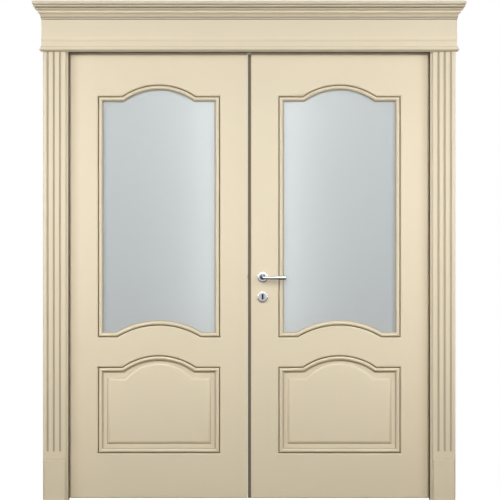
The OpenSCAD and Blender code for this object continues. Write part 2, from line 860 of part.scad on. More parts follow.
module plinth_block(side) {
    color(paint) placed() on_side(side)
        chamfered_block([casing_in, -plinth_t, 0], [casing_out, 0, plinth_h], plinth_arris);
}

// Frieze board, with a hollow and a flat band milled along its lower edge
module frieze_board() {
    band_z = head_base + 2 * torus_r + neck_fillet_h;
    hollow_z = band_z + band_h;
    r = (band_hollow_h ^ 2 + band_p ^ 2) / (2 * band_p);
    color(paint) placed() along(-frieze_half, frieze_half) {
        translate([-frieze_t, head_base]) square([frieze_t, frieze_h]);
        translate([-frieze_t - band_p, band_z]) square([band_p, band_h]);
        difference() {
            translate([-frieze_t - band_p, hollow_z]) square([band_p, band_hollow_h]);
            translate([-frieze_t - r, hollow_z + band_hollow_h]) circle(r);
        }
    }
}

// Section of the neck moulding: out of the frieze board, and up from its foot
module neck_section() {
    translate([0, torus_r]) square([neck_fillet_p, torus_r + neck_fillet_h]);
    translate([0, torus_r]) circle(torus_r);
}

// Section of the crown: out of the frieze board, and up from its foot
module crown_section() {
    translate([0, crown_foot_r]) square([crown_quirk_p, crown_z2 - crown_foot_r]);
    translate([crown_foot_r / 2, crown_foot_r]) circle(crown_foot_r);
    difference() {
        translate([0, crown_z2]) square([band_out, hollow_h]);
        translate([hollow_p0 + crown_hollow_r, crown_z2]) circle(crown_hollow_r);
    }
    translate([0, crown_z3]) square([band_out, crown_band_h + crown_round_r]);
    intersection() {
        translate([band_out, crown_z5]) circle(crown_round_r);
        translate([0, crown_z3]) square([round_out + cut, crown_z5 - crown_z3]);
    }
    translate([0, crown_z5]) square([round_out - crown_ledge, crown_h - crown_z5]);
    translate([bead_mid_p, crown_z6 + crown_bead_r]) circle(crown_bead_r);
    difference() {
        translate([0, crown_z7]) square([crown_out, crown_cove_r]);
        translate([crown_out + crown_ledge, crown_z7]) circle(crown_cove_r);
    }
    translate([0, crown_z8]) square([crown_out, crown_fillet_h]);
}

// Carries a section along the front of the frieze board and round its two ends
module round_frieze(z, h, depth) {
    intersection() {
        along(-frieze_half - depth, frieze_half + depth) translate([0, z]) {
            translate([-frieze_t, 0]) mirror([1, 0]) children();
            translate([-frieze_t, 0]) square([frieze_t, h]);
        }
        through(-frieze_t - depth, 0) translate([0, z]) {
            for (s = [0, 1])
                mirror([s, 0]) translate([frieze_half, 0]) children();
            translate([-frieze_half, 0]) square([2 * frieze_half, h]);
        }
    }
}

module neck_moulding() {
    color(paint) placed() difference() {
        round_frieze(head_base, 2 * torus_r + neck_fillet_h, torus_r) neck_section();
        box([-frieze_half, -frieze_t, head_base - cut], [frieze_half, cut, head_base + frieze_h]);
    }
}

module crown_moulding() {
    color(paint) placed() difference() {
        round_frieze(crown_z, crown_h, crown_out) crown_section();
        box([-frieze_half, -frieze_t, head_base], [frieze_half, cut, head_base + frieze_h + cut]);
    }
}

// Plain rear casing up one side, mitred to the head casing
module rear_casing(side) {
    out = rear_in + rear_casing_w;
    top = rear_head_z + rear_casing_w;
    color(paint) placed() on_side(side) intersection() {
        translate([rear_in, jamb_d, 0]) linear_extrude(top)
            rounded_bar(rear_casing_w, rear_casing_t, rear_edge_r);
        through(jamb_d - cut, jamb_d + rear_casing_t + cut)
            polygon([[rear_in, 0], [out, 0], [out, top - mitre_gap], [rear_in, rear_head_z - mitre_gap]]);
    }
}

module rear_head_casing() {
    out = rear_in + rear_casing_w;
    top = rear_head_z + rear_casing_w;
    color(paint) placed() intersection() {
        translate([-out, jamb_d, rear_head_z]) rotate([90, 0, 90]) linear_extrude(2 * out)
            translate([0, rear_casing_w]) rotate(-90)
                rounded_bar(rear_casing_w, rear_casing_t, rear_edge_r);
        through(jamb_d - cut, jamb_d + rear_casing_t + cut)
            polygon([[-rear_in, rear_head_z], [rear_in, rear_head_z], [out, top], [-out, top]]);
    }
}

// Keeper plate for the upper flush bolt, let into the underside of the head jamb
module keeper_block(fit) {
    box([-rod_x - keeper_l / 2, rod_y - plate_w / 2, head_z - cut],
        [-rod_x + keeper_l / 2, rod_y + plate_w / 2, head_z + keeper_t + fit]);
}

module keeper_fixings(fit) {
    for (s = [-1, 1])
        translate([-rod_x + s * (keeper_l / 2 - screw_inset), rod_y, head_z]) mirror([0, 0, 1]) screw(fit);
}

module bolt_keeper() {
    color(steel) placed() difference() {
        box([-rod_x - keeper_l / 2, rod_y - plate_w / 2, head_z],
            [-rod_x + keeper_l / 2, rod_y + plate_w / 2, head_z + keeper_t]);
        translate([-rod_x, rod_y, head_z - cut])
            cylinder(r = rod_r + 2 * slide_fit, h = keeper_t + 2 * cut);
        keeper_fixings(screw_fit);
    }
}

module keeper_screws() {
    color(steel) placed() keeper_fixings(0);
}

// Keyhole outline, grown by a margin
module keyhole(grow) {
    r = keyhole_w / 2 + grow;
    for (s = [-1, 1])
        translate([0, s * (keyhole_h - keyhole_w) / 2]) circle(r);
    square([2 * r, keyhole_h - keyhole_w], center = true);
}

// Screws along the edge of a leaf, at x on the right half, pointing into the leaf
module edge_screws(x, y, zs, fit) {
    for (z = zs)
        translate([x, y, z]) rotate([0, -90, 0]) screw(fit);
}

strike_screw_zs = [for (s = [-1, 1]) forend_z + s * (strike_h / 2 - screw_inset)];
forend_screw_zs = [for (s = [-1, 1]) forend_z + s * (forend_h / 2 - screw_inset)];
plate_screw_zs = [for (m = [plate_mid_low, plate_mid_up], s = [-1, 1]) m + s * (plate_h / 2 - screw_inset)];

// Passive leaf, modelled on the right and mirrored: strike pockets and flush bolt mortises
module left_leaf() {
    color(paint) placed() on_side(-1) difference() {
        leaf_blank();
        box([meet_x - cut, lock_y - strike_w / 2, forend_z - strike_h / 2],
            [meet_x + forend_t, lock_y + strike_w / 2, forend_z + strike_h / 2]);
        strike_holes(strike_in);
        flush_mortise(plate_mid_up, leaf_z1);
        flush_mortise(plate_mid_low, floor_gap);
        edge_screws(meet_x, lock_y, strike_screw_zs, screw_fit);
        edge_screws(meet_x, rod_y + plate_screw_off, plate_screw_zs, screw_fit);
    }
}

// Pockets for latch and deadbolt behind the strike plate
module strike_holes(depth) {
    room = 1;
    for (h = [[handle_z, latch_h], [key_z, deadbolt_h]])
        box([meet_x - cut, lock_y - slide_t / 2 - room, h[0] - h[1] / 2 - room],
            [meet_x + depth, lock_y + slide_t / 2 + room, h[0] + h[1] / 2 + room]);
}

module strike_plate() {
    color(steel) placed() on_side(-1) difference() {
        box([meet_x, lock_y - strike_w / 2, forend_z - strike_h / 2],
            [meet_x + forend_t, lock_y + strike_w / 2, forend_z + strike_h / 2]);
        strike_holes(strike_in);
        edge_screws(meet_x, lock_y, strike_screw_zs, screw_fit);
    }
}

// Room for a flush bolt: its plate, its thumb piece and its rod out through the end of the leaf
module flush_mortise(mid, end) {
    inner = plate_h - 4 * screw_inset;
    box(
        [meet_x - cut, rod_y - plate_w / 2, mid - plate_h / 2],
        [meet_x + plate_t, rod_y + plate_w / 2, mid + plate_h / 2]
    );
    box([meet_x, rod_y - rod_r - slide_fit, mid - inner / 2],
        [rod_x + rod_r + slide_fit, rod_y + rod_r + slide_fit, mid + inner / 2]);
    rod_z0 = min(mid, end) - cut;
    translate([rod_x, rod_y, rod_z0]) cylinder(r = rod_r + slide_fit, h = abs(end - mid) + 2 * cut);
}

// Ends of the slot in a flush bolt plate, for the thumb piece and its throw
function slot_ends(mid, throw) = [for (s = [-1, 1]) mid + s * ((thumb_h + throw) / 2 + slide_fit)];

module flush_bolt_plates() {
    color(steel) placed() on_side(-1) difference() {
        for (m = [plate_mid_up, plate_mid_low])
            box(
                [meet_x, rod_y - plate_w / 2, m - plate_h / 2],
                [meet_x + plate_t, rod_y + plate_w / 2, m + plate_h / 2]
            );
        for (s = [slot_ends(plate_mid_up, upper_throw), slot_ends(plate_mid_low, lower_throw)])
            box([meet_x - cut, rod_y - thumb_w / 2 - slide_fit, s[0]],
                [meet_x + plate_t + cut, rod_y + thumb_w / 2 + slide_fit, s[1]]);
        edge_screws(meet_x, rod_y + plate_screw_off, plate_screw_zs, screw_fit);
    }
}

// Flush bolt drawn back: a rod that ends just inside the leaf, with a thumb piece at its other end
module flush_bolt(mid, end, throw, up) {
    thumb = mid - up * throw / 2;
    tip = end - up * 1;
    color(steel) placed() on_side(-1) {
        translate([rod_x, rod_y, min(thumb - up * thumb_h / 2, tip)])
            cylinder(r = rod_r, h = abs(tip - thumb) + thumb_h / 2);
        box(
            [meet_x + slide_fit, rod_y - thumb_w / 2, thumb - thumb_h / 2],
            [rod_x, rod_y + thumb_w / 2, thumb + thumb_h / 2]
        );
    }
}

module upper_flush_bolt() {
    flush_bolt(plate_mid_up, leaf_z1, upper_throw, 1);
}

module lower_flush_bolt() {
    flush_bolt(plate_mid_low, floor_gap, lower_throw, -1);
}

module left_edge_screws() {
    color(steel) placed() on_side(-1) {
        edge_screws(meet_x, lock_y, strike_screw_zs, 0);
        edge_screws(meet_x, rod_y + plate_screw_off, plate_screw_zs, 0);
    }
}

// Room for the lock case in leaf and strip
module case_room() {
    box([forend_x - cut, lock_y - case_t / 2 - case_fit, case_z0 - case_fit],
        [case_x + case_l + case_fit, lock_y + case_t / 2 + case_fit, case_z1 + case_fit]);
}

// Active leaf: lock mortise, spindle hole and keyholes
module right_leaf() {
    color(paint) placed() difference() {
        leaf_blank();
        case_room();
        translate([spindle_x, 0, handle_z]) round_through(rose_bore_r, leaf_front - cut, leaf_rear + cut);
        translate([spindle_x, 0, key_z]) through(leaf_front - cut, leaf_rear + cut) keyhole(slide_fit);
        edge_screws(forend_x, lock_y, forend_screw_zs, screw_fit);
    }
}

module meeting_strip() {
    color(paint) placed() difference() {
        box([forend_x, strip_y, floor_gap], [meet_x, strip_y + strip_w, leaf_z1]);
        box([forend_x - cut, lock_y - forend_w / 2, forend_z - forend_h / 2],
            [forend_x + forend_t, lock_y + forend_w / 2, forend_z + forend_h / 2]);
        case_room();
        edge_screws(forend_x, lock_y, forend_screw_zs, screw_fit);
    }
}

module meeting_seal() {
    color(rubber) placed()
        box([meet_seal_room - meet_x, strip_y - meet_seal_t, floor_gap], [meet_x, strip_y, leaf_z1]);
}

module lock_forend() {
    fit = slide_fit;
    color(steel) placed() difference() {
        box([forend_x, lock_y - forend_w / 2, forend_z - forend_h / 2],
            [forend_x + forend_t, lock_y + forend_w / 2, forend_z + forend_h / 2]);
        for (h = [[handle_z, latch_h], [key_z, deadbolt_h]])
            box([forend_x - cut, lock_y - slide_t / 2 - fit, h[0] - h[1] / 2 - fit],
                [case_x + cut, lock_y + slide_t / 2 + fit, h[0] + h[1] / 2 + fit]);
        edge_screws(forend_x, lock_y, forend_screw_zs, screw_fit);
    }
}

module forend_screws() {
    color(steel) placed() edge_screws(forend_x, lock_y, forend_screw_zs, 0);
}

// Lock case: a closed block with rooms for latch and follower, for the deadbolt and for the key
module lock_case() {
    y0 = lock_y - inner_t / 2;
    y1 = lock_y + inner_t / 2;
    end = case_x + case_l;
    fit = slide_fit;
    color(steel) placed() difference() {
        box([case_x, lock_y - case_t / 2, case_z0], [end, lock_y + case_t / 2, case_z1]);
        box([case_x + case_wall, y0, handle_z - hub_r - case_wall], [end - case_wall, y1, case_z1 - case_wall]);
        box(
            [case_x - cut, y0, handle_z - latch_h / 2 - fit],
            [case_x + 2 * case_wall, y1, handle_z + latch_h / 2 + fit]
        );
        box([case_x - cut, y0, key_z - deadbolt_h / 2 - fit],
            [forend_x + deadbolt_l + fit, y1, key_z + deadbolt_h / 2 + fit]);
        translate([spindle_x, 0, handle_z])
            round_through(journal_r + journal_run, lock_y - case_t / 2 - cut, lock_y + case_t / 2 + cut);
        for (y = [lock_y - case_t / 2, lock_y + case_t / 2])
            translate([spindle_x, 0, key_z]) through(y - case_wall * 2, y + case_wall * 2) keyhole(0);
    }
}

// Follower: hub and journals with a square hole, and a finger that pushes the hook of the latch
module lock_follower() {
    hole = spindle_a + 2 * spindle_fit;
    color(steel) placed() translate([spindle_x, 0, handle_z]) difference() {
        union() {
            round_through(journal_r, lock_y - case_t / 2, lock_y + case_t / 2);
            round_through(hub_r, lock_y - slide_t / 2, lock_y + slide_t / 2);
            through(lock_y - slide_t / 2, lock_y + slide_t / 2) rotate(handle_turn / 2) {
                translate([-finger_w / 2, 0]) square([finger_w, finger_l]);
                translate([0, finger_l]) circle(finger_r);
            }
        }
        box([-hole / 2, lock_y - case_t, -hole / 2], [hole / 2, lock_y + case_t, hole / 2]);
    }
}

// Latch bolt, bevelled on the side that meets the strike plate, with a tail over the follower
module latch_bolt() {
    tip = forend_x - latch_throw;
    y0 = lock_y - slide_t / 2;
    y1 = lock_y + slide_t / 2;
    head_l = latch_throw + forend_t + case_wall + hub_r / 2;
    web_x = tip + head_l;
    color(steel) placed() {
        translate([0, 0, handle_z - latch_h / 2]) linear_extrude(latch_h)
            polygon([[tip, y1], [tip, y1 - slide_t / 4], [forend_x, y0], [web_x, y0], [web_x, y1]]);
        box([web_x - 2 * case_wall, y0, handle_z], [web_x, y1, tail_z0 + tail_h]);
        box([web_x - case_wall, y0, tail_z0], [hook_x + hook_l, y1, tail_z0 + tail_h]);
        box([hook_x, y0, hook_z], [hook_x + hook_l, y1, tail_z0 + tail_h]);
    }
}

module deadbolt() {
    color(steel) placed()
        box([forend_x, lock_y - slide_t / 2, key_z - deadbolt_h / 2],
            [forend_x + deadbolt_l, lock_y + slide_t / 2, key_z + deadbolt_h / 2]);
}

// Section of a rose: a flat disc with a rounded rim, from an inner radius
module rose_section(r0) {
    translate([r0, 0]) square([rose_r - rim_r - r0, rose_t]);
    translate([r0, 0]) square([rose_r - r0, rose_t - rim_r]);
    translate([rose_r - rim_r, rose_t - rim_r]) circle(rim_r);
}

// Rose on the front of the leaf, round its own axis
module on_front(z) {
    translate([spindle_x, leaf_front, z]) rotate([90, 0, 0]) children();
}

module lever_rose() {
    on_front(handle_z) rotate_extrude() rose_section(rose_bore_r);
}

module lever_bush() {
    on_front(handle_z) difference() {
        cylinder(r = rose_bore_r - bush_run, h = bush_t);
        translate([0, 0, -cut]) cylinder(r = journal_out + bush_run, h = bush_t + 2 * cut);
    }
}

module key_rose() {
    on_front(key_z) difference() {
        union() {
            rotate_extrude() rose_section(0);
            linear_extrude(rose_t + collar_t) keyhole(collar_w);
        }
        translate([0, 0, -cut]) linear_extrude(rose_t + collar_t + 2 * cut) keyhole(0);
    }
}

// Half section of the grip, along its own axis: a ball at the bend, and a taper to a rounded tip
module grip_section(l) {
    intersection() {
        union() {
            circle(bend_ball_r);
            polygon([[0, 0], [neck_r, 0], [grip_r, l], [0, l]]);
        }
        union() {
            translate([0, -grip_r]) square([2 * grip_r, l - tip_r + grip_r]);
            translate([0, l - tip_r]) circle(tip_r);
        }
        translate([0, -grip_r]) square([2 * grip_r, l + grip_r + cut]);
    }
}

// Lever on the front: a journal in the bush, a bend, and the grip
module lever() {
    tilt = asin(lever_drop / bend_r);
    start = bend_r * cos(tilt);
    hole = spindle_a + 2 * spindle_fit;
    bend_z = lever_reach - bend_r;
    run_in = 4;
    on_front(handle_z) difference() {
        union() {
            cylinder(r = journal_out, h = bend_z);
            rotate([0, 0, -tilt]) translate([bend_r, 0, bend_z]) rotate([90, 0, 0]) rotate([0, 0, 90])
                rotate_extrude(angle = 90 + run_in) translate([bend_r, 0]) circle(neck_r);
            translate([start, -lever_drop, lever_reach]) rotate([0, 90, 0])
                rotate_extrude() grip_section(lever_l - start);
        }
        translate([-hole / 2, -hole / 2, -cut]) cube([hole, hole, bend_z - neck_r + cut]);
    }
}

module spindle() {
    half = leaf_t / 2 + lever_reach - bend_r - neck_r - spindle_fit;
    color(steel) placed() translate([spindle_x, leaf_mid, handle_z])
        cube([spindle_a, 2 * half, spindle_a], center = true);
}

module front_lever() {
    color(chrome) placed() lever();
}

module rear_lever() {
    color(chrome) placed() turned_to_rear() lever();
}

module front_rose() {
    color(chrome) placed() lever_rose();
}

module rear_rose() {
    color(chrome) placed() turned_to_rear() lever_rose();
}

module lever_bushes() {
    color(nylon) placed() {
        lever_bush();
        turned_to_rear() lever_bush();
    }
}

module front_key_rose() {
    color(chrome) placed() key_rose();
}

module rear_key_rose() {
    color(chrome) placed() turned_to_rear() key_rose();
}

jamb(-1);  // left_jamb
jamb(1);  // right_jamb
head_jamb();
jamb_seal(-1);  // left_jamb_seal
jamb_seal(1);  // right_jamb_seal
head_seal();
casing(-1);  // left_casing
casing(1);  // right_casing
plinth_block(-1);  // left_plinth_block
plinth_block(1);  // right_plinth_block
frieze_board();
neck_moulding();
crown_moulding();
rear_casing(-1);  // rear_left_casing
rear_casing(1);  // rear_right_casing
rear_head_casing();
frame_knuckles(-1);  // left_hinge_frame_knuckles
frame_knuckles(1);  // right_hinge_frame_knuckles
hinge_pins(-1);  // left_hinge_pins
hinge_pins(1);  // right_hinge_pins
bolt_keeper();
keeper_screws();
left_leaf();
glass(-1);  // left_glass
glass_moulding(-1);  // left_glass_moulding_front
glass_moulding_rear(-1);  // left_glass_moulding_rear
panel(-1);  // left_panel
panel_moulding(-1);  // left_panel_moulding_front
panel_moulding_rear(-1);  // left_panel_moulding_rear
leaf_knuckles(-1);  // left_hinge_leaf_knuckles
strike_plate();
flush_bolt_plates();
left_edge_screws();
right_leaf();
glass(1);  // right_glass
glass_moulding(1);  // right_glass_moulding_front
glass_moulding_rear(1);  // right_glass_moulding_rear
panel(1);  // right_panel
panel_moulding(1);  // right_panel_moulding_front
panel_moulding_rear(1);  // right_panel_moulding_rear
leaf_knuckles(1);  // right_hinge_leaf_knuckles
meeting_strip();
meeting_seal();
lock_case();
lock_forend();
forend_screws();
front_rose();
rear_rose();
lever_bushes();
front_key_rose();
rear_key_rose();
front_lever();
rear_lever();
spindle();
lock_follower();
latch_bolt();
deadbolt();
upper_flush_bolt();
lower_flush_bolt();
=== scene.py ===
"""Dresses the double door: swept mouldings, turned fittings, sprayed enamel, frosted glass and chrome."""
import json

import bmesh
import bpy
import numpy as np
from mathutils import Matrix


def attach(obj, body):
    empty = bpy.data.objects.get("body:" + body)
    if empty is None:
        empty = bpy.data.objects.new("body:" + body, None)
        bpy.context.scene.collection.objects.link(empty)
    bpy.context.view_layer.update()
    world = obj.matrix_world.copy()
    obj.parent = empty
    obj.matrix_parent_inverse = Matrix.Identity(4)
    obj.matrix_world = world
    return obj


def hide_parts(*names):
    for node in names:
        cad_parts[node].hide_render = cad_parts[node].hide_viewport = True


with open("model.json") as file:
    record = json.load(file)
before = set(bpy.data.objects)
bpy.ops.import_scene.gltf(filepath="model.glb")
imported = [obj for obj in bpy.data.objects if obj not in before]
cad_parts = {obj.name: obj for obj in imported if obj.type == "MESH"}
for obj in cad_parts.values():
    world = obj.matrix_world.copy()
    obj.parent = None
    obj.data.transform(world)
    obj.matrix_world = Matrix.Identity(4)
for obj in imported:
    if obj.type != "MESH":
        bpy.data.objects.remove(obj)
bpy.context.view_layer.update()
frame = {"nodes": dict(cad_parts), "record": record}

# Measures of the door in millimetres, as in the part's source: x from the middle of the door, y from the front of
# the jambs to the rear, z from the floor
MID_Y = 34.5
LEAF_FRONT, LEAF_REAR = 36.0, 80.0
LEAF_MID_X, OPEN_HALF = 407.0, 281.5
PANEL_Z, GLASS_Z = (204.0, 606.0), (727.0, 1827.0)
ARCH_HALF, ARCH_RISE = 167.5, 52.0
SILL_HALF, SILL_RISE = 185.5, 53.0
HEAD_BASE, FRIEZE_H, FRIEZE_T, FRIEZE_HALF = 2021.0, 230.0, 28.0, 937.0
CROWN_BASE = 2169.4
CASING_IN, CASING_W, CASING_T, PLINTH_H = 826.0, 103.5, 22.0, 185.0
SPINDLE_X, HANDLE_Z, KEY_Z = 60.5, 1006.0, 916.0

# Fineness of the meshes: steps along an arch and round each fitting, and the angle from which an edge is sharp
ARCH_STEPS = 57
ROSE_STEPS, KEY_STEPS, LEVER_STEPS = 96, 144, 48
SHARP_ANGLE = 32


# Shapes as arrays of points

def arc(cx, cy, r, a0, a1, n):
    """Points on a circle: centre plus r times the cosine and sine of an angle that runs from a0 to a1 degrees."""
    a = np.radians(np.linspace(a0, a1, n))
    return np.stack([cx + r * np.cos(a), cy + r * np.sin(a)], axis=1)


def chain(*parts):
    """Joins points and arcs into one outline, in the order given."""
    return np.concatenate([np.atleast_2d(np.asarray(p, float)) for p in parts])


def ramp(value, start, end):
    """Goes in a straight line from 0 at start to 1 at end, and stays level beyond both."""
    return np.clip((value - start) / (end - start), 0, 1)


def tube(stations, painted_shade=0.0):
    """Closed solid from stations of one outline each: quads between neighbours, and a face over both ends. The last
    array gives the strength of painted shade at each point, from 0 to 1."""
    m, n = stations.shape[:2]
    k, j = np.meshgrid(np.arange(m - 1), np.arange(n), indexing="ij")
    nxt = (j + 1) % n
    quads = np.stack([k * n + j, k * n + nxt, (k + 1) * n + nxt, (k + 1) * n + j], axis=-1).reshape(-1, 4)
    ends = [list(range(n)), list(range((m - 1) * n, m * n))]
    return stations.reshape(-1, 3), quads.tolist() + ends, np.broadcast_to(painted_shade, (m, n)).ravel()


def ring(stations):
    """Closed solid whose last station joins the first, as in a turned piece with a hole."""
    m, n = stations.shape[:2]
    k, j = np.meshgrid(np.arange(m), np.arange(n), indexing="ij")
    nxt, far = (j + 1) % n, (k + 1) % m
    quads = np.stack([k * n + j, k * n + nxt, far * n + nxt, far * n + j], axis=-1).reshape(-1, 4)
    return stations.reshape(-1, 3), quads.tolist(), np.zeros(m * n)


def block(across, depth, height):
    """Box between two values each of x, y and z: a rectangle of x and z, carried from one depth to the other."""
    (x0, x1), (z0, z1) = across, height
    x, z = np.array([x0, x1, x1, x0]), np.array([z0, z0, z1, z1])
    return [tube(np.stack([np.stack([x, np.full(4, y), z], axis=1) for y in depth]))]


def mirrored(solids):
    """The same solids on the other side of the middle: x changes its sign."""
    return [(v * [-1, 1, 1], f, g) for v, f, g in solids]


def to_rear(solids):
    """The same solids on the rear of a leaf: y is mirrored at the middle of the leaf."""
    return [(v * [1, -1, 1] + [0, LEAF_FRONT + LEAF_REAR, 0], f, g) for v, f, g in solids]


def piece(name, solids, body, slot, nodes, finish=None):
    """Mesh object from solids in millimetres, moved to metres in the door's frame. It rides on a body, has the finish
    of its slot unless it is given its own, and stands in for the nodes named."""
    verts, faces, base = [], [], 0
    for v, f, _ in solids:
        verts.append(v)
        faces += [[i + base for i in q] for q in f]
        base += len(v)
    points = (np.concatenate(verts) - [0, MID_Y, 0]) / 1000
    mesh = bpy.data.meshes.new(name)
    mesh.from_pydata(points.tolist(), [], faces)
    bm = bmesh.new()
    bm.from_mesh(mesh)
    bmesh.ops.recalc_face_normals(bm, faces=bm.faces)
    bm.to_mesh(mesh)
    bm.free()
    # Each point's strength of painted shade, stored on the mesh for its material
    painted_shade = mesh.attributes.new("painted_shade", "FLOAT", "POINT")
    painted_shade.data.foreach_set("value", np.concatenate([g for _, _, g in solids]).astype(np.float32))
    mesh.shade_smooth()
    mesh.set_sharp_from_angle(angle=np.radians(SHARP_ANGLE))
    obj = bpy.data.objects.new(name, mesh)
    bpy.context.scene.collection.objects.link(obj)
    mesh.materials.append(SLOT_FINISH[slot] if finish is None else finish)
    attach(obj, body)
    if nodes:
        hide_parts(*nodes)


# Mouldings round glass and panel

FIT = 0.1
RING_W, QUIRK_W, QUIRK_DEPTH = 30.5, 7.9, 9.0
BEAD_MID, BEAD_DEPTH, BEAD_R = 18.0, 4.5, 8.0
# Strength of the painted shade at the inner foot of a bead, by the glass or panel
BEAD_FOOT_PAINTED_SHADE = 0.5


def arc_radius(half, rise):
    """Radius of an arc: half the chord squared plus the rise squared, over twice the rise."""
    return (half ** 2 + rise ** 2) / (2 * rise)


ARCH_R = arc_radius(ARCH_HALF, ARCH_RISE)
SILL_R = arc_radius(SILL_HALF, SILL_RISE)


def bead_section(back):
    """Section across a moulding, inwards and out of the face: a quarter ellipse falls into the quirk, then a bead
    rises from it, a slope runs down to the glass, and the back closes it. Also gives the strength of painted shade at
    each point: full in the quirk, and partly at the bead's inner foot."""
    t = np.radians(np.linspace(0, 88, 12))
    fall = np.stack([FIT + QUIRK_W * np.sin(t), QUIRK_DEPTH * (np.cos(t) - 1)], axis=1)
    bead = arc(BEAD_MID, -BEAD_DEPTH, BEAD_R, 212, -7, 29)
    section = chain(fall, [8.6, -QUIRK_DEPTH], [11.0, -QUIRK_DEPTH], bead, [30.1, -8.7], [RING_W, -9.2],
                    [RING_W, -back], [FIT, -back])
    u, h = section.T
    # Painted shade: full deep in the quirk, and partly at the bead's inner foot
    quirk = ramp(-h, 3.5, 7.0) * ramp(u, 12.6, 11.0)
    foot = BEAD_FOOT_PAINTED_SHADE * ramp(-h, 4.0, 8.0) * ramp(u, 23.0, 26.0)
    return section, quirk + foot


def ring_corners(u, z0, z1, sill):
    """Corners of an opening moved inwards by each u; a chord of an arc moves with its circle's radius."""
    arch = np.sqrt((ARCH_R - u) ** 2 - (ARCH_R - ARCH_RISE - u) ** 2)
    low = np.sqrt((SILL_R + u) ** 2 - (SILL_R - SILL_RISE + u) ** 2)
    side, foot, head = OPEN_HALF - u, z0 + u, z1 - u
    around = [(-side, foot)] + ([(-low, foot), (low, foot)] if sill else [])
    around += [(side, foot), (side, head), (arch, head), (-arch, head), (-side, head)]
    return [np.stack(p, axis=1) for p in around]


def moulding_lengths(z0, z1, sill, back):
    """Mitred lengths: each outline point runs straight, or along its circle, from corner to corner."""
    section, painted_shade = bead_section(back)
    u, h = section.T
    corners = ring_corners(u, z0, z1, sill)
    count = len(corners)
    arch_at, sill_at = count - 3, 1 if sill else None
    solids = []
    for i, a in enumerate(corners):
        b = corners[(i + 1) % count]
        if i in (arch_at, sill_at):
            top = i == arch_at
            cz = z1 + ARCH_RISE - ARCH_R if top else z0 + SILL_RISE - SILL_R
            r = ARCH_R - u if top else SILL_R + u
            start = np.arctan2(a[:, 1] - cz, a[:, 0])
            stop = np.arctan2(b[:, 1] - cz, b[:, 0])
            t = np.linspace(0, 1, ARCH_STEPS)[:, None]
            angle = start + t * (stop - start)
            x, z = r * np.cos(angle), cz + r * np.sin(angle)
        else:
            t = np.linspace(0, 1, 2)[:, None]
            x, z = a[:, 0] + t * (b[:, 0] - a[:, 0]), a[:, 1] + t * (b[:, 1] - a[:, 1])
        y = np.broadcast_to(LEAF_FRONT - h, x.shape)
        solids.append(tube(np.stack([x + LEAF_MID_X, y, z], axis=-1), painted_shade))
    return solids


# Raised panels

FIELD_HALF, FIELD_Z, FIELD_R, FIELD_MID_Z = 234.0, (253.5, 552.5), 202.5, 421.0
BEVEL_W, BEVEL_H, BEVEL_STEPS = 16.0, 8.0, 13
BOARD_DEPTH, BOARD_FIT, FIELD_SINK = 12.0, 0.2, 0.2
# Width over which painted shade fades in from the field's edge, its strength at the field's foot, where it is a
# painted shadow, and its strength along the other edges
FIELD_SHADE_FADE_W, FOOT_EDGE_PAINTED_SHADE, EDGE_PAINTED_SHADE = 4.0, 0.75, 0.1


def arched(half, z0, z1, r, centre, start_r):
    """Outline of a foot, two sides, two shoulders at z1 and an arch between them. The arch has radius r about a
    centre, and starts at the angle at which a circle of radius start_r reaches z1."""
    start = np.degrees(np.arcsin((z1 - centre) / start_r))
    arch = arc(0, centre, r, start, 180 - start, ARCH_STEPS)
    return chain([-half, z0], [half, z0], [half, z1], arch, [-half, z1])


def field_outline(u):
    """Outline of the raised field, with every side moved inwards by u."""
    r = FIELD_R - u
    return arched(FIELD_HALF - u, FIELD_Z[0] + u, FIELD_Z[1] - u, r, FIELD_MID_Z, r)


def board_outline():
    """Outline of the panel board: that of the opening, with room at its foot, sides and arch."""
    z0, z1 = PANEL_Z
    return arched(OPEN_HALF - BOARD_FIT, z0 + BOARD_FIT, z1, ARCH_R - BOARD_FIT, z1 + ARCH_RISE - ARCH_R, ARCH_R)


def at_depth(outline, y):
    """An outline of x and z set at one depth y in a leaf."""
    return np.stack([outline[:, 0] + LEAF_MID_X, np.full(len(outline), y), outline[:, 1]], axis=1)


def raised_panel():
    """Board with a field on both faces. The field's bevel rises along a parabola from its outer edge inwards, and
    painted shade along that edge is strongest at the foot, as a painted shadow under the field; the foot's two corners
    are the outline's first points."""
    u = np.concatenate([[0], np.linspace(0, BEVEL_W, BEVEL_STEPS)])
    rise = BEVEL_H * (1 - (1 - u / BEVEL_W) ** 2)
    rise[0] = -FIELD_SINK
    front, rear = LEAF_FRONT + BOARD_DEPTH, LEAF_REAR - BOARD_DEPTH
    rows = np.stack([at_depth(field_outline(a), front - b) for a, b in zip(u, rise)])
    # Painted shade along the field's edge, strongest at the foot as a painted shadow
    shade_paint = np.where(np.arange(rows.shape[1]) < 2, FOOT_EDGE_PAINTED_SHADE, EDGE_PAINTED_SHADE)
    field = [tube(rows, ramp(u, FIELD_SHADE_FADE_W, 0)[:, None] * shade_paint)]
    board = tube(np.stack([at_depth(board_outline(), y) for y in (front, rear)]))
    return [board] + field + to_rear(field)


# Head and casings

# Painted shade on the crown and the neck moulding at each height, darkest in the crown's quirks and lighter on the
# neck's underside and top fillet: pairs of height and strength
CROWN_PAINTED_SHADE = [(0, 0.1), (1, 0), (4.9, 0), (5.6, 0.9), (8.5, 0.9), (9.5, 0.1), (28, 0), (37.1, 0), (39, 0.1),
               (49.5, 0.2), (50.1, 1), (53.6, 1), (54.5, 0.2), (57, 0), (61.6, 0.1), (62.1, 0.6), (66, 0.4),
               (68, 0.1), (81, 0.1)]
NECK_PAINTED_SHADE = [(0, 0.3), (11.6, 0.22), (12.2, 0), (22, 0), (24, 0.25), (25, 0.25)]

BAND_Z, BAND_OUT = (25.0, 48.0), 6.0
HOLLOW_Z, HOLLOW_R = 64.0, 24.33
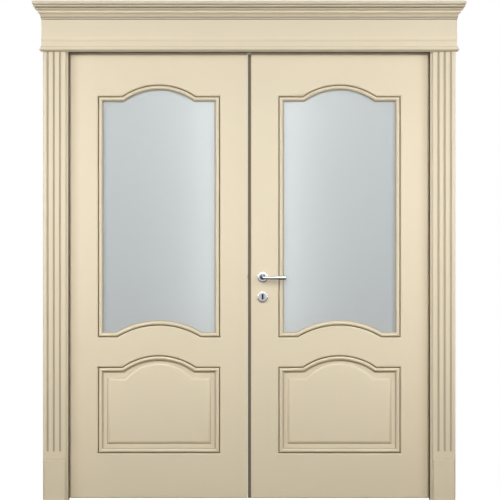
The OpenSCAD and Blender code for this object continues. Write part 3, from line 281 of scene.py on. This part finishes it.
# Heights of a line on the frieze's flat face under the crown, and its strength: a painted shadow line
LINE_Z, LINE_PAINTED_SHADOW = (143.6, 144.4, 148.4, 149.4), 0.75

EDGE_R, FLUTED_FROM, FLUTED_STEPS = 4.0, 4.6, 330
FLUTES, FLUTE_IN, FLUTE_PITCH = 3, 21.0, 28.0
FLUTE_R, FLUTE_OUT = 5.25, 0.25
FADE_Z, FADE_STEPS = (219.0, 223.0), 9
# Strength of the painted shade deep in the flutes
FLUTE_PAINTED_SHADE = 0.5


def round_frieze(section, z, shade_paint):
    """Carries a section of projection and height along both ends and the front of the frieze board, mitred. The
    strength of painted shade at a point is read from pairs of height and strength, with straight lines between them."""
    p, h = section.T
    side, front = FRIEZE_HALF + p, -FRIEZE_T - p
    back = np.zeros_like(p)
    stops = [(-side, back), (-side, front), (side, front), (side, back)]
    line = [np.stack([x, y, z + h], axis=1) for x, y in stops]
    painted_shade = np.interp(h, *np.transpose(shade_paint))
    return [tube(np.stack(pair), painted_shade) for pair in zip(line, line[1:])]


def crown_section():
    """Section of the crown from its foot: bead, quirk, hollow, band, quarter round, bead, cove and top fillet."""
    return chain([0, 0.42], arc(1.5, 3, 3, -90, 60, 9), [3, 5.6], [3, 8.5], [4.5, 8.5],
                 arc(26.5, 8.5, 22, 180, 117.1, 15), [17, 28.1], [17, 37.1], arc(17, 50.1, 13, -88, 0, 15),
                 [29.5, 50.1], [29.5, 53.6], arc(32.5, 57.6, 5, -126, 64, 19), [36.9, 62.1],
                 arc(43, 62.1, 6, 179, 95, 11), [42.5, 68.1], [42.5, 81.2], [42.1, 81.6], [0, 81.6])


def neck_section():
    """Section of the neck moulding: an underside that slopes out, a rounded nose, and a slope back to the board."""
    return chain([0, 0], [1, 0], [8.0, 7.4], arc(7.2, 10, 2.3, -35, 25, 7), [8.9, 12.2], [4.2, 20.5], [3.8, 24.6],
                 [3.4, 25], [0, 25])


def frieze_section():
    """Section of the frieze board: its back, the band, the hollow above it, and the flat face, which has a painted
    shadow line under the crown. Also gives the strength of painted shade at each point."""
    band = [[-FRIEZE_T - BAND_OUT, z] for z in BAND_Z]
    hollow = arc(-FRIEZE_T - HOLLOW_R, HOLLOW_Z, HOLLOW_R, -41.1, 0, 13)
    line = [[-FRIEZE_T, z] for z in LINE_Z]
    section = chain([0, 0], [-FRIEZE_T, 0], [-FRIEZE_T, BAND_Z[0]], band, hollow, line, [-FRIEZE_T, FRIEZE_H],
                    [0, FRIEZE_H])
    z = section[:, 1]
    return section, LINE_PAINTED_SHADOW * ((z > LINE_Z[0]) & (z <= LINE_Z[-1]))


def frieze():
    """The board's section carried straight from end to end."""
    section, painted_shade = frieze_section()
    y, z = section.T
    ends = [np.stack([np.full_like(y, x), y, HEAD_BASE + z], axis=1) for x in (-FRIEZE_HALF, FRIEZE_HALF)]
    return [tube(np.stack(ends), painted_shade)]


def casing():
    """Casing as stations up its height: its front is the flat face less three circular flutes, whose depth fades in
    at their foot along a quarter of a sine wave, and its long edges are quarter rounds."""
    edge = arc(EDGE_R, EDGE_R - CASING_T, EDGE_R, 180, 270, 9)
    x = np.linspace(FLUTED_FROM, CASING_W - FLUTED_FROM, FLUTED_STEPS)
    middle = CASING_W - FLUTE_IN - FLUTE_PITCH * np.arange(FLUTES)
    off = np.abs(x[:, None] - middle).min(axis=1)
    depth = np.maximum(0, np.sqrt(np.maximum(FLUTE_R ** 2 - off ** 2, 0)) - FLUTE_OUT)
    outline_x = np.concatenate([[0], edge[:, 0], x, CASING_W - edge[::-1, 0], [CASING_W]])
    flat = np.concatenate([[0], edge[:, 1], np.full(len(x), -CASING_T), edge[::-1, 1], [0]])
    cut = np.pad(depth, 1 + len(edge))
    z = np.concatenate([[PLINTH_H, FADE_Z[0] - 0.5], np.linspace(*FADE_Z, FADE_STEPS), [HEAD_BASE]])
    fade = np.sin(ramp(z, *FADE_Z) * np.pi / 2)[:, None]
    y = flat + fade * cut
    xs = np.broadcast_to(outline_x + CASING_IN, y.shape)
    zs = np.broadcast_to(z[:, None], y.shape)
    # Painted shade deep in the flutes, fading in with them at their foot
    return [tube(np.stack([xs, y, zs], axis=-1), FLUTE_PAINTED_SHADE * fade * ramp(cut, 2.0, 4.0))]


# Fittings, each about its own axis with its height out of the leaf

ROSE_R, ROSE_H, RIM_R = 23.5, 9.0, 3.0
BUSH_R = 11.0
KEYHOLE_R, COLLAR_R, KEYHOLE_STRAIGHT, COLLAR_H = 4.0, 8.0, 16.0, 10.0
NECK_FROM, NECK_TO, NECK_R = 6.5, 36.0, 7.0
BEND_REACH, BEND_OUT, LEVER_DROP = 13.42, 14.0, 4.0
GRIP_FROM, TIP_FROM, TIP_R, TIP_REACH = 16.0, 94.0, 14.0, 13.98
GRIP_R, GRIP_GROWTH = 6.5, 3.0


def on_front(points, z):
    """From a fitting's own axis, with its third measure out of the leaf, to the door: x, then z, then minus y."""
    return np.stack([SPINDLE_X + points[..., 0], LEAF_FRONT - points[..., 2], z + points[..., 1]], axis=-1)


def rose_rim():
    """The quarter round that a rose's rim has in section."""
    return arc(ROSE_R - RIM_R, ROSE_H - RIM_R, RIM_R, 0, 90, 11)


def lever_rose():
    """Turned piece: each point of a section of radius and height goes round the axis. The section has a rounded rim,
    a face, and a dished opening for the bush."""
    section = chain([BUSH_R, 0], [ROSE_R, 0], rose_rim(), [13.6, ROSE_H], [13, 8.6], [11.2, 6.2], [BUSH_R, 5.8])
    a = np.linspace(0, 2 * np.pi, ROSE_STEPS, endpoint=False)[:, None]
    r, h = section.T
    height = np.broadcast_to(h, (ROSE_STEPS, len(h)))
    return [ring(on_front(np.stack([r * np.cos(a), r * np.sin(a), height], axis=-1), HANDLE_Z))]


def slot_outline(t, r, straight):
    """Round-ended upright slot at each angle t: a circle of radius r, whose halves stand a straight apart."""
    x, z = r * np.cos(t), r * np.sin(t)
    return np.stack([x, z + np.where(z >= 0, straight / 2, -straight / 2)], axis=1)


def key_rose():
    """Disc with a raised collar and a keyhole. Its section goes from the keyhole's slot along the back to the rim's
    circle, over the rim, in to the collar's slot and back to the keyhole; each step is an outline at one height."""
    t = np.linspace(0, 2 * np.pi, KEY_STEPS, endpoint=False)
    hole, collar = slot_outline(t, KEYHOLE_R, KEYHOLE_STRAIGHT), slot_outline(t, COLLAR_R, KEYHOLE_STRAIGHT)
    circle = np.stack([np.cos(t), np.sin(t)], axis=1)
    steps = [(hole, 0.0), (ROSE_R * circle, 0.0)] + [(r * circle, h) for r, h in rose_rim()]
    steps += [(collar + 0.3 * circle, ROSE_H), (collar, 9.3), (collar - 0.7 * circle, COLLAR_H),
              (hole + 0.6 * circle, COLLAR_H), (hole, 9.5)]
    rows = np.stack([np.column_stack([xy, np.full(len(t), h)]) for xy, h in steps], axis=1)
    return [ring(on_front(rows, KEY_Z))]


def key_ward():
    """Plate in the middle of the lock that closes the line of sight through the two keyholes."""
    return block((SPINDLE_X - 12, SPINDLE_X + 12), (57.5, 58.5), (KEY_Z - 17, KEY_Z + 17))


def meeting_cap():
    """Block that carries the meeting strip up past the tops of the leaves, nearly to the head jamb."""
    return block((-6.8, 7.4), (50.0, 58.0), (2009.0, 2017.5))


def lever():
    """Lever as circles along its path. The path leaves the leaf, turns through a quarter ellipse while it sinks by
    the square of a sine, and runs on straight. The radius grows along the grip and closes as a circle at the tip."""
    straight = np.linspace(NECK_FROM, NECK_TO, 8)
    neck = np.stack([0 * straight, 0 * straight, straight], axis=1)
    a = np.radians(np.linspace(4, 90, 28))
    bend = np.stack([BEND_REACH * (1 - np.cos(a)), -LEVER_DROP * np.sin(a) ** 2, NECK_TO + BEND_OUT * np.sin(a)],
                    axis=1)
    tip_x = TIP_FROM + TIP_REACH * np.sin(np.linspace(0.06, 1, 18) * np.pi / 2)
    x = np.concatenate([np.linspace(GRIP_FROM, TIP_FROM, 24), tip_x])
    grip = np.stack([x, np.full_like(x, -LEVER_DROP), np.full_like(x, NECK_TO + BEND_OUT)], axis=1)
    path = np.concatenate([neck, bend, grip])
    reach, out = path[:, 0], path[:, 2]
    taper = GRIP_R + GRIP_GROWTH * ramp(reach, BEND_REACH, TIP_FROM + TIP_R)
    tip = np.sqrt(np.maximum(TIP_R ** 2 - np.maximum(reach - TIP_FROM, 0) ** 2, 0.01))
    radius = np.minimum(np.where(out < NECK_TO - 0.1, NECK_R, taper), tip)
    tangent = np.gradient(path, axis=0)
    tangent /= np.linalg.norm(tangent, axis=1, keepdims=True)
    side = np.cross(tangent, [0, 1, 0])
    side /= np.linalg.norm(side, axis=1, keepdims=True)
    up = np.cross(side, tangent)
    t = np.linspace(0, 2 * np.pi, LEVER_STEPS, endpoint=False)
    circle = np.cos(t)[:, None] * side[:, None, :] + np.sin(t)[:, None] * up[:, None, :]
    return [tube(on_front(path[:, None, :] + radius[:, None, None] * circle, HANDLE_Z))]


# Finishes

COLOUR, VALUE = "NodeSocketColor", "NodeSocketFloat"
EFFECT_OUTPUTS = [("Color", COLOUR), ("Roughness", VALUE), ("Height", VALUE)]
# Places of a Mix node's first and second input and of its output, for each kind of data
MIX_SOCKETS = {"FLOAT": (2, 3, 0), "RGBA": (6, 7, 2)}
# The middle range of a noise value, which is spread out
NOISE_SPAN = (0.3, 0.7)
# Scales per metre of the coat's drift in tone, clouds in gloss and ripple in height
DRIFT_SCALE, CLOUD_SCALE, RIPPLE_SCALE = 2.3, 14.0, 420.0
# Tone of the enamel where metal mirrors it: a painted dark reflection
MIRRORED_ENAMEL = (0.03, 0.027, 0.022, 1)


def feed(tree, socket, value):
    """Links an input to another node's output, or sets it to a plain value."""
    if isinstance(value, bpy.types.NodeSocket):
        tree.links.new(value, socket)
    else:
        socket.default_value = value


def mix(tree, kind, factor, first, second):
    """Mix of two values or colours: the first where the factor is 0, the second where it is 1."""
    first_at, second_at, out_at = MIX_SOCKETS[kind]
    node = tree.nodes.new("ShaderNodeMix")
    node.data_type = kind
    tree.links.new(factor, node.inputs["Factor"])
    feed(tree, node.inputs[first_at], first)
    feed(tree, node.inputs[second_at], second)
    return node.outputs[out_at]


def remap(tree, value, span, low, high):
    """A value mapped from a span to low and high, and held between them."""
    node = tree.nodes.new("ShaderNodeMapRange")
    for label, bound in zip(("From Min", "From Max", "To Min", "To Max"), (*span, low, high)):
        feed(tree, node.inputs[label], bound)
    tree.links.new(value, node.inputs["Value"])
    return node.outputs["Result"]


def noise(tree, scale, detail):
    """Noise on Object coordinates, at a scale per metre."""
    coord = tree.nodes.new("ShaderNodeTexCoord")
    node = tree.nodes.new("ShaderNodeTexNoise")
    feed(tree, node.inputs["Scale"], scale)
    node.inputs["Detail"].default_value = detail
    tree.links.new(coord.outputs["Object"], node.inputs["Vector"])
    return node.outputs["Fac"]


def effect_group(name, inputs):
    """Shader group with named inputs, and a colour, a roughness and a height as outputs. Returns the group, its
    inputs' sockets and its outputs' sockets."""
    group = bpy.data.node_groups.new(name, "ShaderNodeTree")
    for label, kind, value in inputs:
        socket = group.interface.new_socket(label, in_out="INPUT", socket_type=kind)
        socket.default_value = value
    for label, kind in EFFECT_OUTPUTS:
        group.interface.new_socket(label, in_out="OUTPUT", socket_type=kind)
    return group, group.nodes.new("NodeGroupInput").outputs, group.nodes.new("NodeGroupOutput").inputs


def coat_group():
    """Sprayed coat: a slow drift between two tones, a painted shade that darkens the tone in grooves and under
    mouldings wherever a mesh marks it, soft clouds in the gloss, and the fine ripple of the dried film in height."""
    group, given, out = effect_group("sprayed_coat", [
        ("Tone", COLOUR, (0.8, 0.8, 0.8, 1)), ("Deep Tone", COLOUR, (0.7, 0.7, 0.7, 1)),
        ("Painted Shade Tone", COLOUR, (0.3, 0.25, 0.2, 1)), ("Painted Shade", VALUE, 0.0), ("Gloss Low", VALUE, 0.3),
        ("Gloss High", VALUE, 0.4)])
    drift = remap(group, noise(group, DRIFT_SCALE, 3.0), NOISE_SPAN, 0.0, 1.0)
    tone = mix(group, "RGBA", drift, given["Tone"], given["Deep Tone"])
    # Painted shade: the tone goes towards a dark brown where the mesh marks painted shade
    shade_painted = mix(group, "RGBA", given["Painted Shade"], tone, given["Painted Shade Tone"])
    cloud = noise(group, CLOUD_SCALE, 2.0)
    group.links.new(shade_painted, out["Color"])
    group.links.new(remap(group, cloud, NOISE_SPAN, given["Gloss Low"], given["Gloss High"]), out["Roughness"])
    group.links.new(noise(group, RIPPLE_SCALE, 2.0), out["Height"])
    return group


def grain_group():
    """Fine grain of a hard surface: speckle in tone, roughness and height at a given scale per metre."""
    group, given, out = effect_group("fine_grain", [
        ("Tone", COLOUR, (0.8, 0.8, 0.8, 1)), ("Speck", COLOUR, (0.7, 0.7, 0.7, 1)), ("Scale", VALUE, 900.0),
        ("Rough Low", VALUE, 0.1), ("Rough High", VALUE, 0.2)])
    speck = noise(group, given["Scale"], 2.0)
    share = remap(group, speck, NOISE_SPAN, 0.0, 1.0)
    group.links.new(mix(group, "RGBA", share, given["Tone"], given["Speck"]), out["Color"])
    group.links.new(remap(group, speck, NOISE_SPAN, given["Rough Low"], given["Rough High"]), out["Roughness"])
    group.links.new(speck, out["Height"])
    return group


def finish_from(group, name, values, bump, plain):
    """Material: a group feeds colour, roughness and a bump of a strength and a distance in metres; plain values go
    straight onto the shader's own sockets."""
    material = bpy.data.materials.new(name)
    material.use_nodes = True
    tree = material.node_tree
    shader = tree.nodes["Principled BSDF"]
    effect = tree.nodes.new("ShaderNodeGroup")
    effect.node_tree = group
    for label, value in values.items():
        effect.inputs[label].default_value = value
    height = tree.nodes.new("ShaderNodeBump")
    height.inputs["Strength"].default_value, height.inputs["Distance"].default_value = bump
    tree.links.new(effect.outputs["Color"], shader.inputs["Base Color"])
    tree.links.new(effect.outputs["Roughness"], shader.inputs["Roughness"])
    tree.links.new(effect.outputs["Height"], height.inputs["Height"])
    tree.links.new(height.outputs["Normal"], shader.inputs["Normal"])
    for label, value in plain.items():
        shader.inputs[label].default_value = value
    return material


def follow_painted_shade(material):
    """Feeds a mesh's own painted shade attribute to the material's group, and thins its coat there to nothing, so that
    the painted shade carries no sheen; a mesh without the attribute counts as 0."""
    tree = material.node_tree
    source = tree.nodes.new("ShaderNodeAttribute")
    source.attribute_name = "painted_shade"
    effect = next(n for n in tree.nodes if n.type == "GROUP")
    tree.links.new(source.outputs["Fac"], effect.inputs["Painted Shade"])
    weight = tree.nodes["Principled BSDF"].inputs["Coat Weight"]
    coat = tree.nodes.new("ShaderNodeMath")
    coat.operation = "MULTIPLY_ADD"
    depth, factor, full = coat.inputs
    factor.default_value, full.default_value = -weight.default_value, weight.default_value
    tree.links.new(source.outputs["Fac"], depth)
    tree.links.new(coat.outputs["Value"], weight)


def dim_in_metal(material, tone):
    """Gives a material a dark tone where a shiny surface mirrors it, a painted dark reflection, so that the fittings
    stand out from the leaf.
    """
    tree = material.node_tree
    base = tree.nodes["Principled BSDF"].inputs["Base Color"]
    colour = base.links[0].from_socket
    path = tree.nodes.new("ShaderNodeLightPath")
    tree.links.new(mix(tree, "RGBA", path.outputs["Is Glossy Ray"], colour, tone), base)


# The enamel's painted shade tone is a dark brown, for shade in its grooves and under its mouldings
enamel = finish_from(coat_group(), "cream_enamel", {
    "Tone": (0.85, 0.725, 0.505, 1), "Deep Tone": (0.83, 0.705, 0.485, 1), "Painted Shade Tone": (0.10, 0.055, 0.024, 1),
    "Gloss Low": 0.46, "Gloss High": 0.54},
    (0.05, 0.0004), {"Specular IOR Level": 1.0, "Coat Weight": 0.8, "Coat Roughness": 0.4})
follow_painted_shade(enamel)
dim_in_metal(enamel, MIRRORED_ENAMEL)

# Grained finishes: tone, speck, scale per metre, roughness from and to, bump, and the shader's plain values
GRAINED = {
    "frosted_glass": ((0.60, 0.63, 0.632, 1), (0.57, 0.60, 0.60, 1), 700.0, 0.46, 0.54, (0.06, 0.0005),
                      {"Transmission Weight": 0.5, "IOR": 1.45}),
    "bright_chrome": ((0.88, 0.88, 0.89, 1), (0.84, 0.84, 0.85, 1), 260.0, 0.08, 0.14, (0.02, 0.0003),
                      {"Metallic": 1.0}),
    "brushed_steel": ((0.62, 0.62, 0.61, 1), (0.52, 0.52, 0.51, 1), 900.0, 0.26, 0.4, (0.08, 0.0003),
                      {"Metallic": 1.0}),
    "dark_zinc": ((0.05, 0.05, 0.048, 1), (0.03, 0.03, 0.03, 1), 500.0, 0.6, 0.8, (0.1, 0.0003), {}),
    "brown_rubber": ((0.07, 0.055, 0.043, 1), (0.05, 0.04, 0.032, 1), 700.0, 0.6, 0.8, (0.15, 0.0004), {}),
    "tan_rubber": ((0.24, 0.19, 0.135, 1), (0.2, 0.16, 0.11, 1), 700.0, 0.6, 0.8, (0.15, 0.0004), {}),
    "dark_nylon": ((0.03, 0.03, 0.032, 1), (0.022, 0.022, 0.024, 1), 1200.0, 0.45, 0.6, (0.1, 0.0002), {}),
}
grain = grain_group()
finishes = {}
for name, (*looks, bump, plain) in GRAINED.items():
    values = dict(zip(("Tone", "Speck", "Scale", "Rough Low", "Rough High"), looks))
    finishes[name] = finish_from(grain, name, values, bump, plain)

SLOT_FINISH = {"cream_paint": enamel, "chrome": finishes["bright_chrome"]}
SLOT_FINISH.update((slot, finishes[slot]) for slot in ("frosted_glass", "brushed_steel", "brown_rubber", "dark_nylon"))
NODE_FINISH = {"lock_case": finishes["dark_zinc"], "meeting_seal": finishes["tan_rubber"]}
for part in frame["record"]["subparts"]:
    mesh = frame["nodes"][part["node"]].data
    mesh.materials.clear()
    mesh.materials.append(NODE_FINISH.get(part["node"], SLOT_FINISH[part["material_slot"]]))

# Pieces on the leaves: for each kind of moulding its opening, whether that has an arched sill, and its back's depth
MOULDINGS = (("glass", GLASS_Z, True, 19.5), ("panel", PANEL_Z, False, 12.0))
for side, flip in (("left", mirrored), ("right", list)):
    body = side + "_leaf"
    for kind, span, sill, back in MOULDINGS:
        front = flip(moulding_lengths(*span, sill, back))
        name = "%s_%s_moulding" % (side, kind)
        piece(name + "_bead_front", front, body, "cream_paint", [name + "_front"])
        piece(name + "_bead_rear", to_rear(front), body, "cream_paint", [name + "_rear"])
    piece(side + "_raised_panel", flip(raised_panel()), body, "cream_paint", [side + "_panel"])

# Pieces on the frame
for name, solids, node in (
        ("crown_run", round_frieze(crown_section(), CROWN_BASE, CROWN_PAINTED_SHADE), "crown_moulding"),
        ("neck_run", round_frieze(neck_section(), HEAD_BASE, NECK_PAINTED_SHADE), "neck_moulding"),
        ("frieze_run", frieze(), "frieze_board"),
        ("left_fluted_casing", mirrored(casing()), "left_casing"),
        ("right_fluted_casing", casing(), "right_casing")):
    piece(name, solids, "frame", "cream_paint", [node])


def fitting(name, solids, body, node):
    """A fitting on the front of the leaf, and the same one on its rear."""
    piece("front_" + name, solids, body, "chrome", ["front_" + node])
    piece("rear_" + name, to_rear(solids), body, "chrome", ["rear_" + node])


# Fittings on the right leaf
fitting("turned_rose", lever_rose(), "right_leaf", "rose")
fitting("key_escutcheon", key_rose(), "right_leaf", "key_rose")
piece("key_ward", key_ward(), "right_leaf", "brushed_steel", [], finishes["dark_zinc"])
piece("meeting_strip_cap", meeting_cap(), "right_leaf", "cream_paint", [])
fitting("bent_lever", lever(), "handle", "lever")


# Stage, light and camera, in metres

FLOOR_HALF, FLOOR_REAR = 6.0, 2.0
FLOOR_TONE, FLOOR_MIRRORED, FLOOR_SEEN = (0.3, 0.29, 0.27, 1), (0.03, 0.03, 0.03, 1), (0.82, 0.82, 0.82, 1)
# Strength of the world as light and through glass; in metal it goes with the height of the direction
WORLD_LIGHT, WORLD_IN_GLASS = 0.07, 0.88
METAL_SPAN, METAL_LOW, METAL_HIGH = (-0.5, 0.3), 0.1, 0.95
WHITE, COOL = (1.0, 1.0, 1.0), (0.9, 0.96, 1.0)
# Name, place, target, size, watts, beam in degrees and colour of each lamp
LAMPS = [
    ("key_lamp", (0, -4.5, 3.2), (0, 0, 1.2), (5.5, 2.0), 18, 50, WHITE),
    ("front_strip", (0, -2.1, 1.38), (0, 0, 1.3), (5.0, 0.6), 9.5, 180, COOL),
    ("side_lamp", (-2.6, -2.2, 1.7), (-0.5, 0, 1.35), (0.8, 1.8), 11, 110, WHITE),
    ("side_lamp", (2.6, -2.2, 1.7), (0.5, 0, 1.35), (0.8, 1.8), 11, 110, WHITE),
    ("rear_lamp", (0, 4.5, 3.2), (0, 0, 1.2), (5.5, 2.0), 24, 60, WHITE),
    ("top_lamp", (0, -0.7, 4.6), (0, -0.05, 2.2), (3.0, 0.8), 7, 180, WHITE),
    ("glass_lamp", (0, 1.0, 1.5), (0, 0, 1.5), (0.5, 1.6), 5, 180, WHITE),
]
# The distance is long for straight lines, and short enough for views that keep the lens and clip at 100 radii
CAMERA_AWAY, CAMERA_X, VIEW_WIDTH, SENSOR = 80.0, 0.0034, 2.255, 36.0


def stage_floor():
    """Flat pale floor that takes the door's shadow. It is lifted where the camera sees it directly, and dark where a
    shiny surface mirrors it."""
    mesh = bpy.data.meshes.new("floor")
    r, rear = FLOOR_HALF, FLOOR_REAR
    mesh.from_pydata([(-r, -r, 0), (r, -r, 0), (r, rear, 0), (-r, rear, 0)], [], [(0, 1, 2, 3)])
    obj = bpy.data.objects.new("floor", mesh)
    bpy.context.scene.collection.objects.link(obj)
    material = bpy.data.materials.new("pale_floor")
    material.use_nodes = True
    tree = material.node_tree
    shader = tree.nodes["Principled BSDF"]
    shader.inputs["Roughness"].default_value = 0.9
    shader.inputs["Emission Color"].default_value = FLOOR_SEEN
    seen = tree.nodes.new("ShaderNodeLightPath").outputs
    tree.links.new(seen["Is Camera Ray"], shader.inputs["Emission Strength"])
    tree.links.new(mix(tree, "RGBA", seen["Is Glossy Ray"], FLOOR_TONE, FLOOR_MIRRORED), shader.inputs["Base Color"])
    mesh.materials.append(material)


def studio_world():
    """Even soft light from all round. Seen directly it is plain white, in metal it is pale above and dark below, and
    through glass it is grey."""
    world = bpy.data.worlds.new("studio")
    bpy.context.scene.world = world
    world.use_nodes = True
    tree = world.node_tree
    seen = tree.nodes.new("ShaderNodeLightPath").outputs
    way = tree.nodes.new("ShaderNodeTexCoord")
    split = tree.nodes.new("ShaderNodeSeparateXYZ")
    tree.links.new(way.outputs["Generated"], split.inputs["Vector"])
    in_metal = remap(tree, split.outputs["Z"], METAL_SPAN, METAL_LOW, METAL_HIGH)
    strength = mix(tree, "FLOAT", seen["Is Camera Ray"], WORLD_LIGHT, 1.0)
    strength = mix(tree, "FLOAT", seen["Is Glossy Ray"], strength, in_metal)
    strength = mix(tree, "FLOAT", seen["Is Transmission Ray"], strength, WORLD_IN_GLASS)
    back = tree.nodes["Background"]
    back.inputs["Color"].default_value = (1, 1, 1, 1)
    tree.links.new(strength, back.inputs["Strength"])


def soft_lamp(name, place, target, size, watts, beam, colour):
    """Rectangular soft lamp that faces a target, with its light held to a beam in degrees."""
    lamp = bpy.data.lights.new(name, "AREA")
    lamp.shape = "RECTANGLE"
    lamp.size, lamp.size_y = size
    lamp.energy = watts
    lamp.color = colour
    lamp.spread = np.radians(beam)
    obj = bpy.data.objects.new(name, lamp)
    bpy.context.scene.collection.objects.link(obj)
    obj.location = place
    aim = np.subtract(target, place)
    aim = aim / np.linalg.norm(aim)
    obj.rotation_euler = (np.arccos(-aim[2]), 0, np.arctan2(aim[1], aim[0]) - np.pi / 2)
    obj.visible_camera = False


def photo_camera():
    """Long lens level with half the view's width, so that this width fills the frame."""
    lens = bpy.data.cameras.new("camera")
    lens.sensor_fit = "HORIZONTAL"
    lens.sensor_width = SENSOR
    lens.lens = SENSOR * CAMERA_AWAY / VIEW_WIDTH
    lens.clip_end = 4 * CAMERA_AWAY
    obj = bpy.data.objects.new("camera", lens)
    bpy.context.scene.collection.objects.link(obj)
    obj.location = (CAMERA_X, -CAMERA_AWAY, VIEW_WIDTH / 2)
    obj.rotation_euler = (np.pi / 2, 0, 0)
    bpy.context.scene.camera = obj


stage_floor()
studio_world()
for lamp in LAMPS:
    soft_lamp(*lamp)
photo_camera()
bpy.context.scene.view_settings.view_transform = "Standard"
